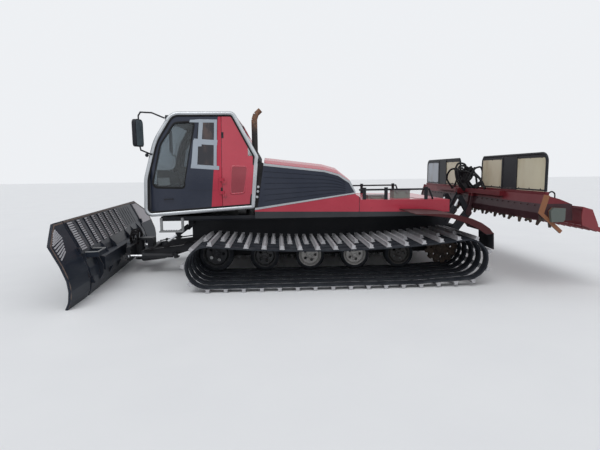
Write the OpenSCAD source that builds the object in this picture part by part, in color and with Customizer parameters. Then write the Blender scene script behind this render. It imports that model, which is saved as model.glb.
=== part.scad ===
// Snowcat groomer: a tracked carrier with a cab, an engine hood, a load deck,
// an all-way blade in front and a raised tiller behind. It faces along -X.

/* [Tracks] */
// Distance from the middle to the outer ends of the long cross bars
track_half = 2100; // [2000:10:2200]
// Width of each track, from the inner to the outer ends of the long bars
track_width = 1400; // [1200:10:1450]
// How much shorter the short cross bars are at their outer end
short_bar_cut = 560; // [300:10:700]
// Height of a cross bar above the belt
bar_height = 62; // [40:1:80]
// Thickness of a cross bar at its foot
bar_foot = 44; // [30:1:60]
// Thickness of a cross bar at its crest
bar_crest = 16; // [8:1:26]
// Wanted distance between two cross bars
bar_pitch = 139; // [120:1:180]
// Thickness of the rubber belt
belt_thickness = 28; // [18:1:34]
// How far the top run hangs below a straight line
belt_sag = 108; // [60:1:112]

/* [Running gear] */
// Place of the front idler along X
idler_x = -1790; // [-1900:5:-1700]
// Radius of the belt round the idler
idler_radius = 310; // [290:1:330]
// Place of the drive sprocket along X
sprocket_x = 2300; // [2250:5:2400]
// Height of the drive sprocket's axle
sprocket_z = 440; // [430:1:470]
// Radius of the belt round the sprocket
sprocket_radius = 300; // [290:1:320]
// Radius of a road wheel's tyre
wheel_radius = 260; // [240:1:262]
// Place of the first road wheel along X
wheel_x = -930; // [-980:5:-900]
// Distance between two road wheels
wheel_pitch = 810; // [780:5:820]
// Width of a tyre
tyre_width = 200; // [160:5:220]
// Distance from the middle to the outer face of the tyres
tyre_face = 960; // [940:5:980]

/* [Carrier] */
// Half the width of the chassis tub
tub_half = 430; // [400:5:432]
// Height of the tub's belly
tub_belly = 290; // [250:5:330]
// Height of the platform's top
platform_top = 1100; // [1090:2:1104]
// Thickness of the platform
platform_depth = 80; // [60:5:100]
// Half the width of the body
body_half = 1150; // [1120:5:1160]
// Height of the load deck's top
deck_top = 1340; // [1320:5:1345]
// Rear end of the load deck
deck_rear = 2334; // [2320:2:2350]

/* [Cab] */
// Half the width of the cab's roof
roof_half = 985; // [950:5:1020]
// Height from the ground to the top of the roof tubes
cab_height = 2880; // [2860:5:2900]
// Thickness of the cab's walls
wall = 55; // [40:1:70]
// Width of the silver side tubes, seen from the side
tube_width = 62; // [50:1:75]

/* [Blade] */
// Half the width of the blade between its wings
blade_half = 2030; // [1950:5:2080]
// Length of a wing
wing_length = 680; // [560:5:740]
// Thickness of the blade's sheet
sheet = 32; // [24:1:40]
// Height of the blade's top edge
blade_height = 1150; // [1120:5:1180]
// Angle of the blade as it stands, in degrees
blade_yaw = 4.6; // [0:0.1:8]
// How far the left wing is folded back as it stands, in degrees
left_fold = -4; // [-10:1:15]
// How far the right wing is folded back as it stands, in degrees
right_fold = 9; // [-10:1:15]

/* [Tiller] */
// Half the width of the tiller's hood
tiller_half = 2620; // [2560:5:2680]
// Place of the rotor's axle along X
rotor_x = 3310; // [3300:5:3330]
// Height of the rotor's axle
rotor_z = 1180; // [1170:2:1200]
// Radius of the rotor's drum
drum_radius = 110; // [90:1:125]
// Radius of the teeth's tips
tooth_radius = 198; // [180:1:204]
// Height of the snow shields' top edge
shield_top = 2070; // [2000:5:2080]

/* [Hidden] */
$fn = 32;

// Clearance that lets a shaft turn in its hole
fit = 0.05;
// Clearance between pieces that stay seated on each other
seat = 0.3;
// Clearance between a tyre and the belt round it
belt_gap = 2.5;

function unit(v) = v / norm(v);
function left_of(v) = [-v.y, v.x];
function flat(p) = [p.x, p.y];

// The arc that rounds corner b, between a and c, with radius r
function corner_arc(a, b, c, r, n) = r == 0 ? [b] :
    let (u = unit(a - b), v = unit(c - b), half = acos(u * v) / 2,
        m = b + unit(u + v) * (r / sin(half)),
        s = b + u * (r / tan(half)) - m, e = b + v * (r / tan(half)) - m,
        start = atan2(s.y, s.x),
        turn = ((atan2(e.y, e.x) - start + 540) % 360) - 180)
    [for (i = [0:n]) m + r * [cos(start + turn * i / n), sin(start + turn * i / n)]];

// An outline from corners [x, y, radius]
function rounded(p, n = 5) = let (k = len(p))
    [for (i = [0:k - 1]) each corner_arc(flat(p[(i + k - 1) % k]), flat(p[i]),
        flat(p[(i + 1) % k]), p[i][2], n)];

// The same corners moved inwards by t, for corners given anticlockwise
function inset(p, t) = let (k = len(p))
    [for (i = [0:k - 1])
        let (a = flat(p[(i + k - 1) % k]), b = flat(p[i]), c = flat(p[(i + 1) % k]),
            n1 = left_of(unit(b - a)), n2 = left_of(unit(c - b)),
            q = b + t * (n1 + n2) / (1 + n1 * n2))
        [q.x, q.y, p[i][2] == 0 ? 0 : max(p[i][2] - t, 2)]];

// A flat sheet of thickness t that follows the open path p, to its left side
function strip(p, t) = let (k = len(p) - 1)
    concat(p, [for (i = [k:-1:0])
        let (n1 = left_of(unit(p[max(i, 1)] - p[max(i, 1) - 1])),
            n2 = left_of(unit(p[min(i, k - 1) + 1] - p[min(i, k - 1)])))
        p[i] + t * (n1 + n2) / (1 + n1 * n2)]);

// An outline in X and Z, drawn out from y0 to y1
module along_y(y0, y1) {
    translate([0, y1, 0]) rotate([90, 0, 0]) linear_extrude(y1 - y0) children();
}

// An outline in Y and Z, drawn out from x0 to x1
module along_x(x0, x1) {
    translate([x0, 0, 0]) rotate([90, 0, 90]) linear_extrude(x1 - x0) children();
}

module block(a, b) {
    translate(a) cube(b - a);
}

module both_sides() {
    children();
    mirror([0, 1, 0]) children();
}

// Turns a piece that points up so that it points from a to b, its Y axis level
module aim(a, b) {
    d = b - a;
    translate(a) rotate([0, acos(d.z / norm(d)), atan2(d.y, d.x)]) children();
}

module rod_between(a, b, r) {
    aim(a, b) cylinder(h = norm(b - a), r = r);
}

// A rod through the points, with a round knuckle at each bend
module bent_rod(points, r) {
    for (i = [0:len(points) - 2]) rod_between(points[i], points[i + 1], r);
    for (i = [1:len(points) - 2]) translate(points[i]) sphere(r = r * 1.06);
}

module pipe_y(x, z, y0, y1, r) {
    translate([x, y1, z]) rotate([90, 0, 0]) cylinder(h = y1 - y0, r = r);
}

// A hydraulic barrel along +Z with its eye at the origin, the eye's hole along Y,
// and a slim neck that clears the clevis
module barrel(length, r, bore, eye_r, eye_w, pin_r, neck) {
    difference() {
        union() {
            cylinder(h = neck + 5, r = eye_w / 2 - 1);
            translate([0, 0, neck]) cylinder(h = length - neck, r = r);
            translate([0, 0, length - 40]) cylinder(h = 40, r = r + 6);
            pipe_y(0, 0, -eye_w / 2, eye_w / 2, eye_r);
        }
        translate([0, 0, neck + barrel_end]) cylinder(h = length, r = bore);
        pipe_y(0, 0, -eye_w, eye_w, pin_r + fit);
    }
}

// Thickness of a barrel's closed end
barrel_end = 14;

// Its rod, from z0 inside the barrel to an eye at z1
module piston_rod(z0, z1, bore, eye_r, eye_w, pin_r) {
    difference() {
        union() {
            translate([0, 0, z0]) cylinder(h = z1 - z0 - eye_r * 0.5, r = bore - fit);
            pipe_y(0, z1, -eye_w / 2, eye_w / 2, eye_r);
        }
        pipe_y(0, z1, -eye_w, eye_w, pin_r);
    }
}

// The track's loop

wheel_z = bar_height + belt_thickness + wheel_radius;
idler_z = bar_height + belt_thickness + idler_radius;
belt_low = bar_height + belt_thickness;
wheel_count = 4;
wheel_last = wheel_x + (wheel_count - 1) * wheel_pitch;

// The belt's inner face: flat below, rising to the sprocket, round it, sagging
// back along the top and round the idler
rise = asin((sprocket_z - sprocket_radius - belt_low) / (sprocket_x - wheel_last));
top_slope = atan(4 * belt_sag / (sprocket_x - idler_x));
run_start = [sprocket_x - sprocket_radius * sin(top_slope),
    sprocket_z + sprocket_radius * cos(top_slope)];
run_end = [idler_x + idler_radius * sin(top_slope),
    idler_z + idler_radius * cos(top_slope)];
rise_end = [sprocket_x + sprocket_radius * sin(rise), sprocket_z - sprocket_radius * cos(rise)];

len_flat = wheel_last - idler_x;
len_rise = norm(rise_end - [wheel_last, belt_low]);
arc_sprocket = 180 + top_slope - rise;
len_sprocket = (sprocket_radius + belt_thickness) * arc_sprocket * PI / 180;
len_run = norm(run_end - run_start) + 8 * belt_sag * belt_sag / 3 / norm(run_end - run_start);
arc_idler = 180 + top_slope;
len_idler = (idler_radius + belt_thickness) * arc_idler * PI / 180;
loop_length = len_flat + len_rise + len_sprocket + len_run + len_idler;
bar_count = 2 * round(loop_length / bar_pitch / 2);
bar_step = loop_length / bar_count;

// Point on the loop at distance s, at depth d outside the belt's inner face
function on_flat(s, d) = [idler_x + s, belt_low - d];
function on_rise(s, d) = let (u = unit(rise_end - [wheel_last, belt_low]))
    [wheel_last, belt_low] + u * s - left_of(u) * d;
function on_arc(cx, cz, r, a, d) = [cx + (r + d) * cos(a), cz + (r + d) * sin(a)];
function on_run(t, d) = let (
        p = run_start + (run_end - run_start) * t - [0, 4 * belt_sag * t * (1 - t)],
        g = unit((run_end - run_start) - [0, 4 * belt_sag * (1 - 2 * t)]))
    p - left_of(g) * d;
function on_loop(s0, d) = let (s = (s0 + loop_length) % loop_length,
        s2 = s - len_flat, s3 = s2 - len_rise, s4 = s3 - len_sprocket, s5 = s4 - len_run)
    s2 < 0 ? on_flat(s, d) :
    s3 < 0 ? on_rise(s2, d) :
    s4 < 0 ? on_arc(sprocket_x, sprocket_z, sprocket_radius,
        rise - 90 + arc_sprocket * s3 / len_sprocket, d) :
    s5 < 0 ? on_run(s4 / len_run, d) :
    on_arc(idler_x, idler_z, idler_radius, 90 - top_slope + arc_idler * s5 / len_idler, d);

// Outline of the band with a tooth for every bar, or for every second one
module track_band(every, y0, y1) {
    foot = bar_foot / 2;
    crest = bar_crest / 2;
    along_y(y0, y1) difference() {
        polygon([for (i = [0:bar_count - 1]) let (s = i * bar_step)
            each (i % every == 0
                ? [on_loop(s - foot, belt_thickness), on_loop(s - crest, belt_low),
                    on_loop(s + crest, belt_low), on_loop(s + foot, belt_thickness)]
                : [on_loop(s - foot, belt_thickness), on_loop(s + foot, belt_thickness)])]);
        polygon([for (i = [0:2 * bar_count - 1]) on_loop(i * bar_step / 2, 0)]);
    }
}

module track() {
    color([0.18, 0.19, 0.21]) {
        track_band(2, -track_half, -track_half + short_bar_cut);
        track_band(1, -track_half + short_bar_cut, -track_half + track_width);
    }
}

module track_left() {
    track();
}

module track_right() {
    mirror([0, 1, 0]) track();
}

// Wheels: place along X, height and tyre radius of each one on a side
wheel_rows = concat([[idler_x, idler_z, idler_radius - belt_gap]],
    [for (i = [0:wheel_count - 1])
        [wheel_x + i * wheel_pitch, wheel_z, wheel_radius - belt_gap]]);
rim_ratio = 0.78;

module tyre_ring(r) {
    rotate([90, 0, 0]) rotate_extrude($fn = 16)
        polygon(rounded([[r * rim_ratio, -tyre_width / 2, 0], [r, -tyre_width / 2, 28],
            [r, tyre_width / 2, 28], [r * rim_ratio, tyre_width / 2, 0]], 2));
}

module tyres() {
    color([0.09, 0.09, 0.1]) both_sides()
        for (w = wheel_rows) translate([w[0], -tyre_face + tyre_width / 2, w[1]]) tyre_ring(w[2]);
}

// A pressed rim with a dished centre and five holes
rim_width = 150;
module rim(r) {
    rotate([90, 0, 0]) difference() {
        rotate_extrude($fn = 24) polygon([[0, -30], [60, -30], [70, 10], [r * 0.72, 20], [r * 0.8, -30],
            [r - 18, -30], [r - 18, -rim_width / 2], [r, -rim_width / 2], [r, rim_width / 2],
            [r - 18, rim_width / 2], [r - 18, 10], [r * 0.86, 10], [r * 0.76, 50], [70, 46],
            [56, 76], [0, 76]]);
        for (i = [0:4]) rotate(i * 72) translate([r * 0.5, 0, -100]) cylinder(h = 200, r = r * 0.13);
    }
}

module rims() {
    color([0.45, 0.45, 0.46]) both_sides()
        for (w = wheel_rows) translate([w[0], -tyre_face + tyre_width / 2, w[1]]) rim(w[2] * rim_ratio);
}

// Axle ends and swing arms that carry the wheels on the tub
axle_radius = 38;
arm_inner = tub_half;
module wheel_arms() {
    color([0.1, 0.1, 0.11]) both_sides() for (w = wheel_rows) {
        pipe_y(w[0], w[1], -tyre_face + tyre_width / 2 + 30, -arm_inner - 150, axle_radius);
        along_y(-arm_inner - 210, -arm_inner - 150)
            polygon(rounded([[w[0] - 55, w[1] - 55, 40], [w[0] + 55, w[1] - 55, 40],
                [w[0] + 260, w[1] + 60, 40], [w[0] + 260, w[1] + 150, 40],
                [w[0] + 150, w[1] + 150, 40], [w[0] - 55, w[1] + 55, 40]]));
        pipe_y(w[0] + 200, w[1] + 95, -arm_inner - 180, -arm_inner, 48);
    }
}

// Drive sprocket: a drum with teeth between the belts and a bolted hub
sprocket_teeth = 13;
sprocket_y = tyre_width / 2 - tyre_face;
module sprocket() {
    r = sprocket_radius - belt_gap;
    translate([sprocket_x, sprocket_y, sprocket_z]) rotate([90, 0, 0]) {
        difference() {
            linear_extrude(60, center = true) polygon([for (i = [0:sprocket_teeth - 1])
                for (k = [[-0.34, 0.87], [-0.2, 1], [0.2, 1], [0.34, 0.87]])
                let (a = (i + k[0]) * 360 / sprocket_teeth) r * k[1] * [cos(a), sin(a)]]);
            for (i = [0:7]) rotate(i * 45) translate([r * 0.62, 0, -40]) cylinder(h = 80, r = 22);
        }
        translate([0, 0, 30]) cylinder(h = 26, r = 150);
        translate([0, 0, 56]) cylinder(h = 24, r = 92);
        for (i = [0:11]) rotate(i * 30) translate([122, 0, 56]) cylinder(h = 12, r = 9);
        translate([0, 0, sprocket_y + tub_half]) cylinder(h = -sprocket_y - tub_half - 30, r = 120);
    }
}

module sprockets() {
    color([0.2, 0.18, 0.17]) both_sides() sprocket();
}

// Chassis

push_pin = [-2200, 520];
push_pin_r = 35;
arm_y = 500;
arm_w = 100;
module tub() {
    color([0.12, 0.12, 0.13]) {
        along_y(-tub_half, tub_half) polygon(rounded([[-2290, 640, 60], [-2130, tub_belly, 60],
            [2240, tub_belly, 60], [2470, 560, 60], [2470, platform_top - platform_depth, 0],
            [-2290, platform_top - platform_depth, 0]]));
        both_sides() {
            pipe_y(push_pin.x, push_pin.y, -arm_y - arm_w / 2 - 22, -tub_half, push_pin_r);
            pipe_y(push_pin.x, push_pin.y, -arm_y - arm_w / 2 - 22, -arm_y - arm_w / 2 - 2, 52);
        }
    }
}

// Lift cylinders: base pin on the platform, rod pin on the push arm
lift_base = [-2290, 905];
lift_tip = [-2760, 560];
lift_pin_r = 22;
ear = 22;
eye_width = 50;
ear_gap = 2;
module clevis(x, z, r, y, w, pin_r, top) {
    for (s = [-1, 1]) along_y(y + s * (w / 2 + ear_gap + ear / 2) - ear / 2,
            y + s * (w / 2 + ear_gap + ear / 2) + ear / 2)
        union() {
            translate([x, z]) circle(r);
            polygon([[x - r, z], [x + r, z], [x + r, top], [x - r, top]]);
        }
    pipe_y(x, z, y - w / 2 - ear_gap - ear - 8, y + w / 2 + ear_gap + ear + 8, pin_r);
}

platform_low = platform_top - platform_depth;
cab_front = -2700;
module platform() {
    color([0.13, 0.13, 0.14]) {
        along_x(cab_front, deck_rear) polygon([[-1080, platform_top], [-1080, platform_low + 30],
            [-1050, platform_low], [1050, platform_low], [1080, platform_low + 30],
            [1080, platform_top]]);
        both_sides() clevis(lift_base.x, lift_base.y, 48, -arm_y, eye_width, lift_pin_r, platform_low);
    }
}

module engine_block() {
    color([0.25, 0.26, 0.27]) block([-880, -380, platform_top], [120, 380, 1680]);
}

// Body sides

sill_low = 1130;
sill_step = [760, deck_top + 8];
sill_end = [deck_rear, deck_top - 12];
sill_rows = [[-1080, sill_low], [deck_rear, sill_low], sill_end, sill_step,
    [740, 1395], [657, 1452], [-1080, 1196]];
// Height of the side sill's top beside the deck
function sill_top(x) = sill_step.y + (sill_end.y - sill_step.y) * (x - sill_step.x)
    / (sill_end.x - sill_step.x);
sill_thick = 58;
module side_sills() {
    color([0.62, 0.08, 0.12]) {
        both_sides() along_y(-body_half, -body_half + sill_thick)
            polygon(sill_rows);
        block([deck_rear - sill_thick, -body_half + sill_thick, platform_top],
            [deck_rear, body_half - sill_thick, deck_top - 12]);
        both_sides() block([-1080, -body_half, platform_low + 30], [deck_rear, -body_half + 70, sill_low]);
    }
}

deck_front = 740;
// Raised tread plate on the rear of the deck: its ends along X, half width and height
tread_rows = [1800, 2240];
tread_half = 1000;
tread_high = 6;
module load_deck() {
    inner = body_half - sill_thick;
    color([0.5, 0.52, 0.54]) {
        block([deck_front, -inner, deck_top - 40], [deck_rear - sill_thick, inner, deck_top]);
        for (x = [deck_front + 100:320:deck_rear - 200])
            block([x, -700, platform_top], [x + 60, 700, deck_top - 40]);
        block([tread_rows[0], -tread_half, deck_top], [tread_rows[1], tread_half, deck_top + tread_high]);
    }
}

// Rails beside the deck: places of the flat posts along X
post_rows = [824, 1205, 1914];
post_width = 60;
post_thick = 14;
rail_z = 1516;
rail_r = 16;
module deck_rails() {
    rail_y = -body_half + 8 + post_thick + rail_r - 4;
    last = post_rows[len(post_rows) - 1];
    color([0.07, 0.07, 0.08]) both_sides() {
        for (x = post_rows) along_y(-body_half + 8, -body_half + 8 + post_thick) polygon([
            [x - post_width / 2, sill_top(x - post_width / 2) + seat],
            [x + post_width / 2, sill_top(x + post_width / 2) + seat],
            [x + post_width / 2, rail_z + 32], [x - post_width / 2, rail_z + 32]]);
        bent_rod([[post_rows[0] - 90, rail_y, rail_z], [last + 60, rail_y, rail_z],
            [last + 130, rail_y, sill_top(last + 130) + rail_r / 2]], rail_r);
    }
}

module deck_boxes() {
    color([0.42, 0.46, 0.44]) {
        block([1440, -760, deck_top], [1740, -480, deck_top + 150]);
        block([960, -800, deck_top], [1280, -560, deck_top + 60]);
    }
}

// Rear fenders: the sheet's top edge, and the lower edge of its side lip
fender_path = [[1440, 1178], [1800, 1172], [2100, 1148], [2320, 1090], [2480, 1020], [2610, 930], [2672, 850]];
lip_path = [[2572, 826], [2440, 920], [2262, 1012], [1980, 1108], [1440, 1170]];
flap_low = 600;
fender_sheet = 10;
module fenders() {
    color([0.35, 0.07, 0.09]) both_sides() {
        along_y(-track_half - 14, -body_half)
            polygon(strip([for (i = [len(fender_path) - 1:-1:0]) fender_path[i]], fender_sheet));
        along_y(-track_half - 14, -track_half - 4) polygon(concat(fender_path, lip_path));
        along_y(-track_half - 14, -track_half + 500)
            polygon([[2662, 860], [2676, 860], [2688, flap_low], [2674, flap_low]]);
    }
}

// Cab

// Side outline of the cab's frame, anticlockwise: [x, z, corner radius]
cab_rows = [[-2952, 1106, 130], [-1085, 1226, 40], [-1008, cab_height - 760, 90], [-1412, cab_height, 130],
    [-2478, cab_height, 230], [-2770, cab_height - 480, 900], [-2925, 1760, 700]];
// Front outline of the cab: [y, z, corner radius]
front_rows = [[-body_half, 1000, 0], [body_half, 1000, 0], [body_half, 1750, 900],
    [roof_half, cab_height - 12, 90], [-roof_half, cab_height - 12, 90], [-body_half, 1750, 900]];
// Plan of the cab, with rounded front corners
plan_rows = [[-2960, -body_half, 260], [-900, -body_half, 0], [-900, body_half, 0], [-2960, body_half, 260]];

// A height above the whole cab, for what cuts through it
over_cab = cab_height + 120;

// The cab's volume, moved in by t
module cab_volume(t) {
    intersection() {
        along_y(-body_half - 50, body_half + 50) polygon(rounded(inset(cab_rows, t), 6));
        along_x(-3100, -800) polygon(rounded(inset(front_rows, t), 6));
        translate([0, 0, 900]) linear_extrude(over_cab - 900) polygon(rounded(inset(plan_rows, t), 6));
    }
}

// The ring of the silver side frames, seen from the side, out past the cab's skin
module frame_ring(t0, t1) {
    difference() {
        polygon(rounded(inset(cab_rows, t0), 6));
        polygon(rounded(inset(cab_rows, t1), 6));
    }
}

skin = 12;
frame_inner_y = 860;
module side_frame_space(t0, t1) {
    intersection() {
        along_y(-body_half - 50, -frame_inner_y) frame_ring(t0, t1);
        difference() {
            along_x(-3100, -800) polygon(rounded(inset(front_rows, -skin), 6));
            along_x(-3150, -750) polygon(rounded(inset(front_rows, wall - 10), 6));
        }
    }
}

module cab_frames() {
    color([0.72, 0.73, 0.74]) both_sides() side_frame_space(-4, tube_width - 4);
}

// The door, seen from the side: it fills the frame back to its hinge line
door_rear = -1622;
door_gap = 8;
hinge_x = -1606;
hinge_y = -body_half - 26;
module door_outline(t) {
    intersection() {
        polygon(rounded(inset(cab_rows, tube_width - 4 + t), 6));
        polygon([[-3000, 1000], [door_rear - t, 1000], [door_rear - t, over_cab], [-3000, over_cab]]);
    }
}

// Windows in the door, [x, z, corner radius] anticlockwise
pane_top = cab_height - 160;
pane_front = [[-2812, 1600, 90], [-2262, 1585, 60], [-2068, pane_top, 70], [-2420, pane_top - 20, 110],
    [-2660, pane_top - 390, 300]];
pane_rear = [[-2186, 1585, 40], [-1716, 1575, 50], [-1700, pane_top, 60], [-1990, pane_top, 50]];

module door_leaf() {
    difference() {
        intersection() {
            cab_volume(0);
            along_y(-body_half - 50, -700) door_outline(door_gap);
        }
        cab_volume(wall - 8);
        along_y(-body_half - 50, -700) {
            polygon(rounded(pane_front));
            polygon(rounded(pane_rear));
        }
        translate([0, 0, -1]) block([-3100, -700, 900], [-800, 0, over_cab]);
    }
}

module hinge_knuckle(z0, z1) {
    difference() {
        union() {
            translate([hinge_x, hinge_y, z0]) cylinder(h = z1 - z0, r = 15);
            block([hinge_x - 60, hinge_y - 5, z0], [hinge_x, hinge_y + 10, z1]);
        }
        translate([hinge_x, hinge_y, z0 - 5]) cylinder(h = z1 - z0 + 10, r = 7 + fit);
    }
}

hinge_rows = [1480, 1700];
module door() {
    color([0.1, 0.12, 0.17]) {
        door_leaf();
        for (z = hinge_rows) {
            hinge_knuckle(z, z + 50);
            block([hinge_x - 60, hinge_y + 5, z], [hinge_x - 26, -body_half + 20, z + 50]);
        }
    }
}

module door_left() {
    door();
}

module door_right() {
    mirror([0, 1, 0]) door();
}

module door_pane() {
    color([0.3, 0.35, 0.4, 0.4]) intersection() {
        difference() {
            cab_volume(18);
            cab_volume(26);
        }
        along_y(-body_half - 50, -700) {
            polygon(rounded(pane_front));
            polygon(rounded(pane_rear));
        }
    }
}

module door_glass_left() {
    door_pane();
}

module door_glass_right() {
    mirror([0, 1, 0]) door_pane();
}

// Openings of the windscreen, front view, and of the rear window
screen_top = cab_height - 150;
screen_rows = [[-roof_half + 10, 1640, 60], [roof_half - 10, 1640, 60], [roof_half - 130, screen_top, 80],
    [-roof_half + 130, screen_top, 80]];
rear_pane = [cab_height - 380, cab_height - 105];
rear_rows = [[-760, rear_pane[0], 50], [760, rear_pane[0], 50], [740, rear_pane[1], 50],
    [-740, rear_pane[1], 50]];

// The rear wall stands forward of the side panels, which leaves room for the exhaust
rear_wall = -1180;
// The cab's feet on the platform
foot_rows = [-2600, -1400];
foot_width = 140;
// Height of the sloping cab floor at x
function floor_z(x) = let (a = cab_rows[0], b = cab_rows[1])
    a.y + (b.y - a.y) * (x - a.x) / (b.x - a.x) + wall / cos(atan2(b.y - a.y, b.x - a.x)) + seat;
module cab_shell() {
    color([0.7, 0.08, 0.13]) {
        difference() {
            cab_volume(0);
            intersection() {
                cab_volume(wall);
                block([-3100, -body_half, 900], [rear_wall - wall, body_half, over_cab]);
            }
            block([rear_wall, -body_half + wall, 1000], [-800, body_half - wall, over_cab]);
            both_sides() {
                side_frame_space(-4, tube_width - 4);
                along_y(-body_half - 50, -700) door_outline(0);
            }
            along_x(-3100, -2300) polygon(rounded(screen_rows));
            along_x(-1450, -800) polygon(rounded(rear_rows));
        }
        for (x = foot_rows) for (y = [-700, 560])
            along_y(y, y + foot_width) polygon([[x, platform_top], [x + foot_width, platform_top],
                [x + foot_width, floor_z(x + foot_width) - wall / 2], [x, floor_z(x) - wall / 2]]);
        both_sides() for (z = hinge_rows) {
            translate([hinge_x, hinge_y, z - 42]) cylinder(h = 40, r = 15);
            translate([hinge_x, hinge_y, z - 42]) cylinder(h = 96, r = 7);
            block([hinge_x, hinge_y + 2, z - 42], [hinge_x + 50, -body_half + 10, z - 2]);
        }
    }
}

module windscreen() {
    color([0.3, 0.36, 0.42, 0.4]) intersection() {
        difference() {
            cab_volume(14);
            cab_volume(24);
        }
        along_x(-3100, -2300) polygon(rounded(screen_rows));
    }
}

module rear_glass() {
    color([0.3, 0.36, 0.42, 0.4]) intersection() {
        difference() {
            cab_volume(14);
            cab_volume(24);
        }
        along_x(-1450, -800) polygon(rounded(rear_rows));
    }
}

// A block that stands on the cab's floor
module on_floor(x0, x1, y0, y1, z) {
    along_y(y0, y1) polygon([[x0, floor_z(x0)], [x1, floor_z(x1)], [x1, z], [x0, z]]);
}

module seats() {
    color([0.1, 0.1, 0.11]) for (y = [-520, 520]) translate([0, y, 0]) {
        on_floor(-2080, -1760, -180, 180, 1480);
        along_y(-240, 240) polygon(rounded([[-2180, 1480, 30], [-1680, 1480, 30], [-1680, 1600, 30],
            [-2180, 1600, 40]]));
        along_y(-230, 230) polygon(rounded([[-1760, 1600, 0], [-1650, 1600, 20], [-1530, 2220, 40],
            [-1640, 2240, 40]]));
        along_y(-120, 120) polygon(rounded([[-1610, 2236, 0], [-1540, 2222, 0], [-1510, 2400, 30],
            [-1590, 2410, 30]]));
    }
}

module dashboard() {
    color([0.14, 0.14, 0.15]) {
        along_y(-700, 700) polygon(rounded([[-2740, floor_z(-2740), 0], [-2600, floor_z(-2600), 0],
            [-2530, 1560, 40], [-2700, 1640, 40]]));
        along_y(-200, 200) polygon(rounded([[-2250, floor_z(-2250), 0], [-1720, floor_z(-1720), 0],
            [-1760, 1640, 50], [-2200, 1560, 50]]));
    }
}

// Hood

hood_inner = body_half - 40;
module hood_sides() {
    color([0.1, 0.12, 0.17]) both_sides() along_y(-body_half + 4, -hood_inner)
        polygon([[-918, 1952], [-1030, 1238], [650, 1474], [552, 1640], [360, 1765], [122, 1832]]);
}

module hood_trims() {
    color([0.75, 0.76, 0.77]) both_sides() {
        along_y(-body_half - 6, -hood_inner) polygon([[-914, 1994], [-918, 1952], [122, 1832], [360, 1765],
            [552, 1640], [650, 1474], [671, 1484], [577, 1668], [372, 1797], [126, 1866]]);
        along_y(-body_half - 6, -hood_inner) polygon([[-1080, 1196], [657, 1452], [671, 1484],
            [650, 1474], [-1030, 1238], [-1074, 1232]]);
    }
}

// Red cover over the engine, crowned across and falling towards the deck
cover_rows = [[-906, 1994], [126, 1867], [372, 1798], [577, 1669], [671, 1485]];
crown = 118;
cover_gap = 4;
cover_half = hood_inner - 3;
module cover_volume(t) {
    n = len(cover_rows) - 1;
    hull() for (i = [0:n]) {
        p = cover_rows[i];
        k = i == n ? 0.1 : i == n - 1 ? 0.6 : 1;
        for (q = [[0, 1], [0.55, 0.86], [0.85, 0.45], [1, 0]]) for (s = [-1, 1])
            translate([p.x - (i == 0 ? 0 : t), s * (cover_half - t) * q[0],
                p.y + cover_gap - t + crown * k * q[1]]) cube([1, 1, 1], center = true);
    }
}

// The hood's hinge at its rear end: place and radius of the pins, and their rows along Y
hood_pin = [700, 1530];
hood_pin_r = 9;
hood_hinge_rows = [-560, 560];
module hood_cover() {
    color([0.7, 0.08, 0.13]) {
        difference() {
            cover_volume(0);
            translate([0, 0, -36]) scale([1, 0.965, 1]) cover_volume(0);
        }
        for (y = hood_hinge_rows) {
            pipe_y(hood_pin.x, hood_pin.y, y - 40, y + 40, hood_pin_r);
            for (s = [-1, 1]) along_y(y + s * 26 - 12, y + s * 26 + 12) polygon([
                [hood_pin.x - 62, 1492], [hood_pin.x - 30, 1490], [hood_pin.x + 12, hood_pin.y - 14],
                [hood_pin.x + 14, hood_pin.y + 12], [hood_pin.x - 14, hood_pin.y + 16],
                [hood_pin.x - 60, 1540]]);
        }
    }
}

// Two ears on the deck's front edge, which carry the hood's pins
module hood_hinges() {
    color([0.1, 0.1, 0.11]) for (y = hood_hinge_rows) along_y(y - 8, y + 8) difference() {
        polygon([[deck_front, deck_top], [deck_front + 60, deck_top], [hood_pin.x + 24, hood_pin.y + 6],
            [hood_pin.x + 10, hood_pin.y + 22], [hood_pin.x - 16, hood_pin.y + 16],
            [hood_pin.x - 20, hood_pin.y - 10]]);
        translate(hood_pin) circle(hood_pin_r + fit);
    }
}

// Exhaust pipe behind the cab, with a bent end
module exhaust() {
    a = [-1070, -800, platform_top];
    b = [-1070, -800, cab_height - 120];
    c = [-1040, -800, cab_height - 30];
    d = [-960, -800, cab_height + 45];
    color([0.2, 0.13, 0.1]) {
        rod_between(a, b, 52);
        rod_between(b, c, 50);
        rod_between(c, d, 46);
    }
}

// Mirrors: a housing with rounded corners on an arm that loops from the roof
mirror_y = -body_half - 10;
mirror_place = [-2990, mirror_y, cab_height - 365];
mirror_tube = 13;
mirror_size = [240, 450];
module mirrors() {
    color([0.05, 0.05, 0.06]) both_sides() {
        translate(mirror_place) rotate([0, 0, -14]) rotate([90, 0, 90]) linear_extrude(66, center = true)
            polygon(rounded([for (c = [[-1, -1, 50], [1, -1, 50], [1, 1, 70], [-1, 1, 70]])
                [c.x * mirror_size.x / 2, c.y * mirror_size.y / 2, c.z]], 4));
        translate([0, mirror_y + 24, cab_height]) {
            bent_rod([[-2560, 58, -115], [-2760, 24, -30], [-2940, 6, -22], [-2975, 0, -80],
                [-2975, 0, -160]], mirror_tube, $fn = 10);
            bent_rod([[-2975, 0, -580], [-2960, 0, -645], [-2800, 8, -715], [-2776, 16, -708]],
                mirror_tube, $fn = 10);
        }
    }
}

module lamps() {
    color([0.85, 0.85, 0.82]) {
        difference() {
            for (y = [-760, -440, 440, 760]) {
                translate([-2990, y, 1400]) rotate([0, 90, 0]) cylinder(h = 120, r = 75);
                translate([-2615, y, cab_height - 85]) rotate([0, 90, 0]) cylinder(h = 150, r = 52);
            }
            cab_volume(0);
        }
    }
}

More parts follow.
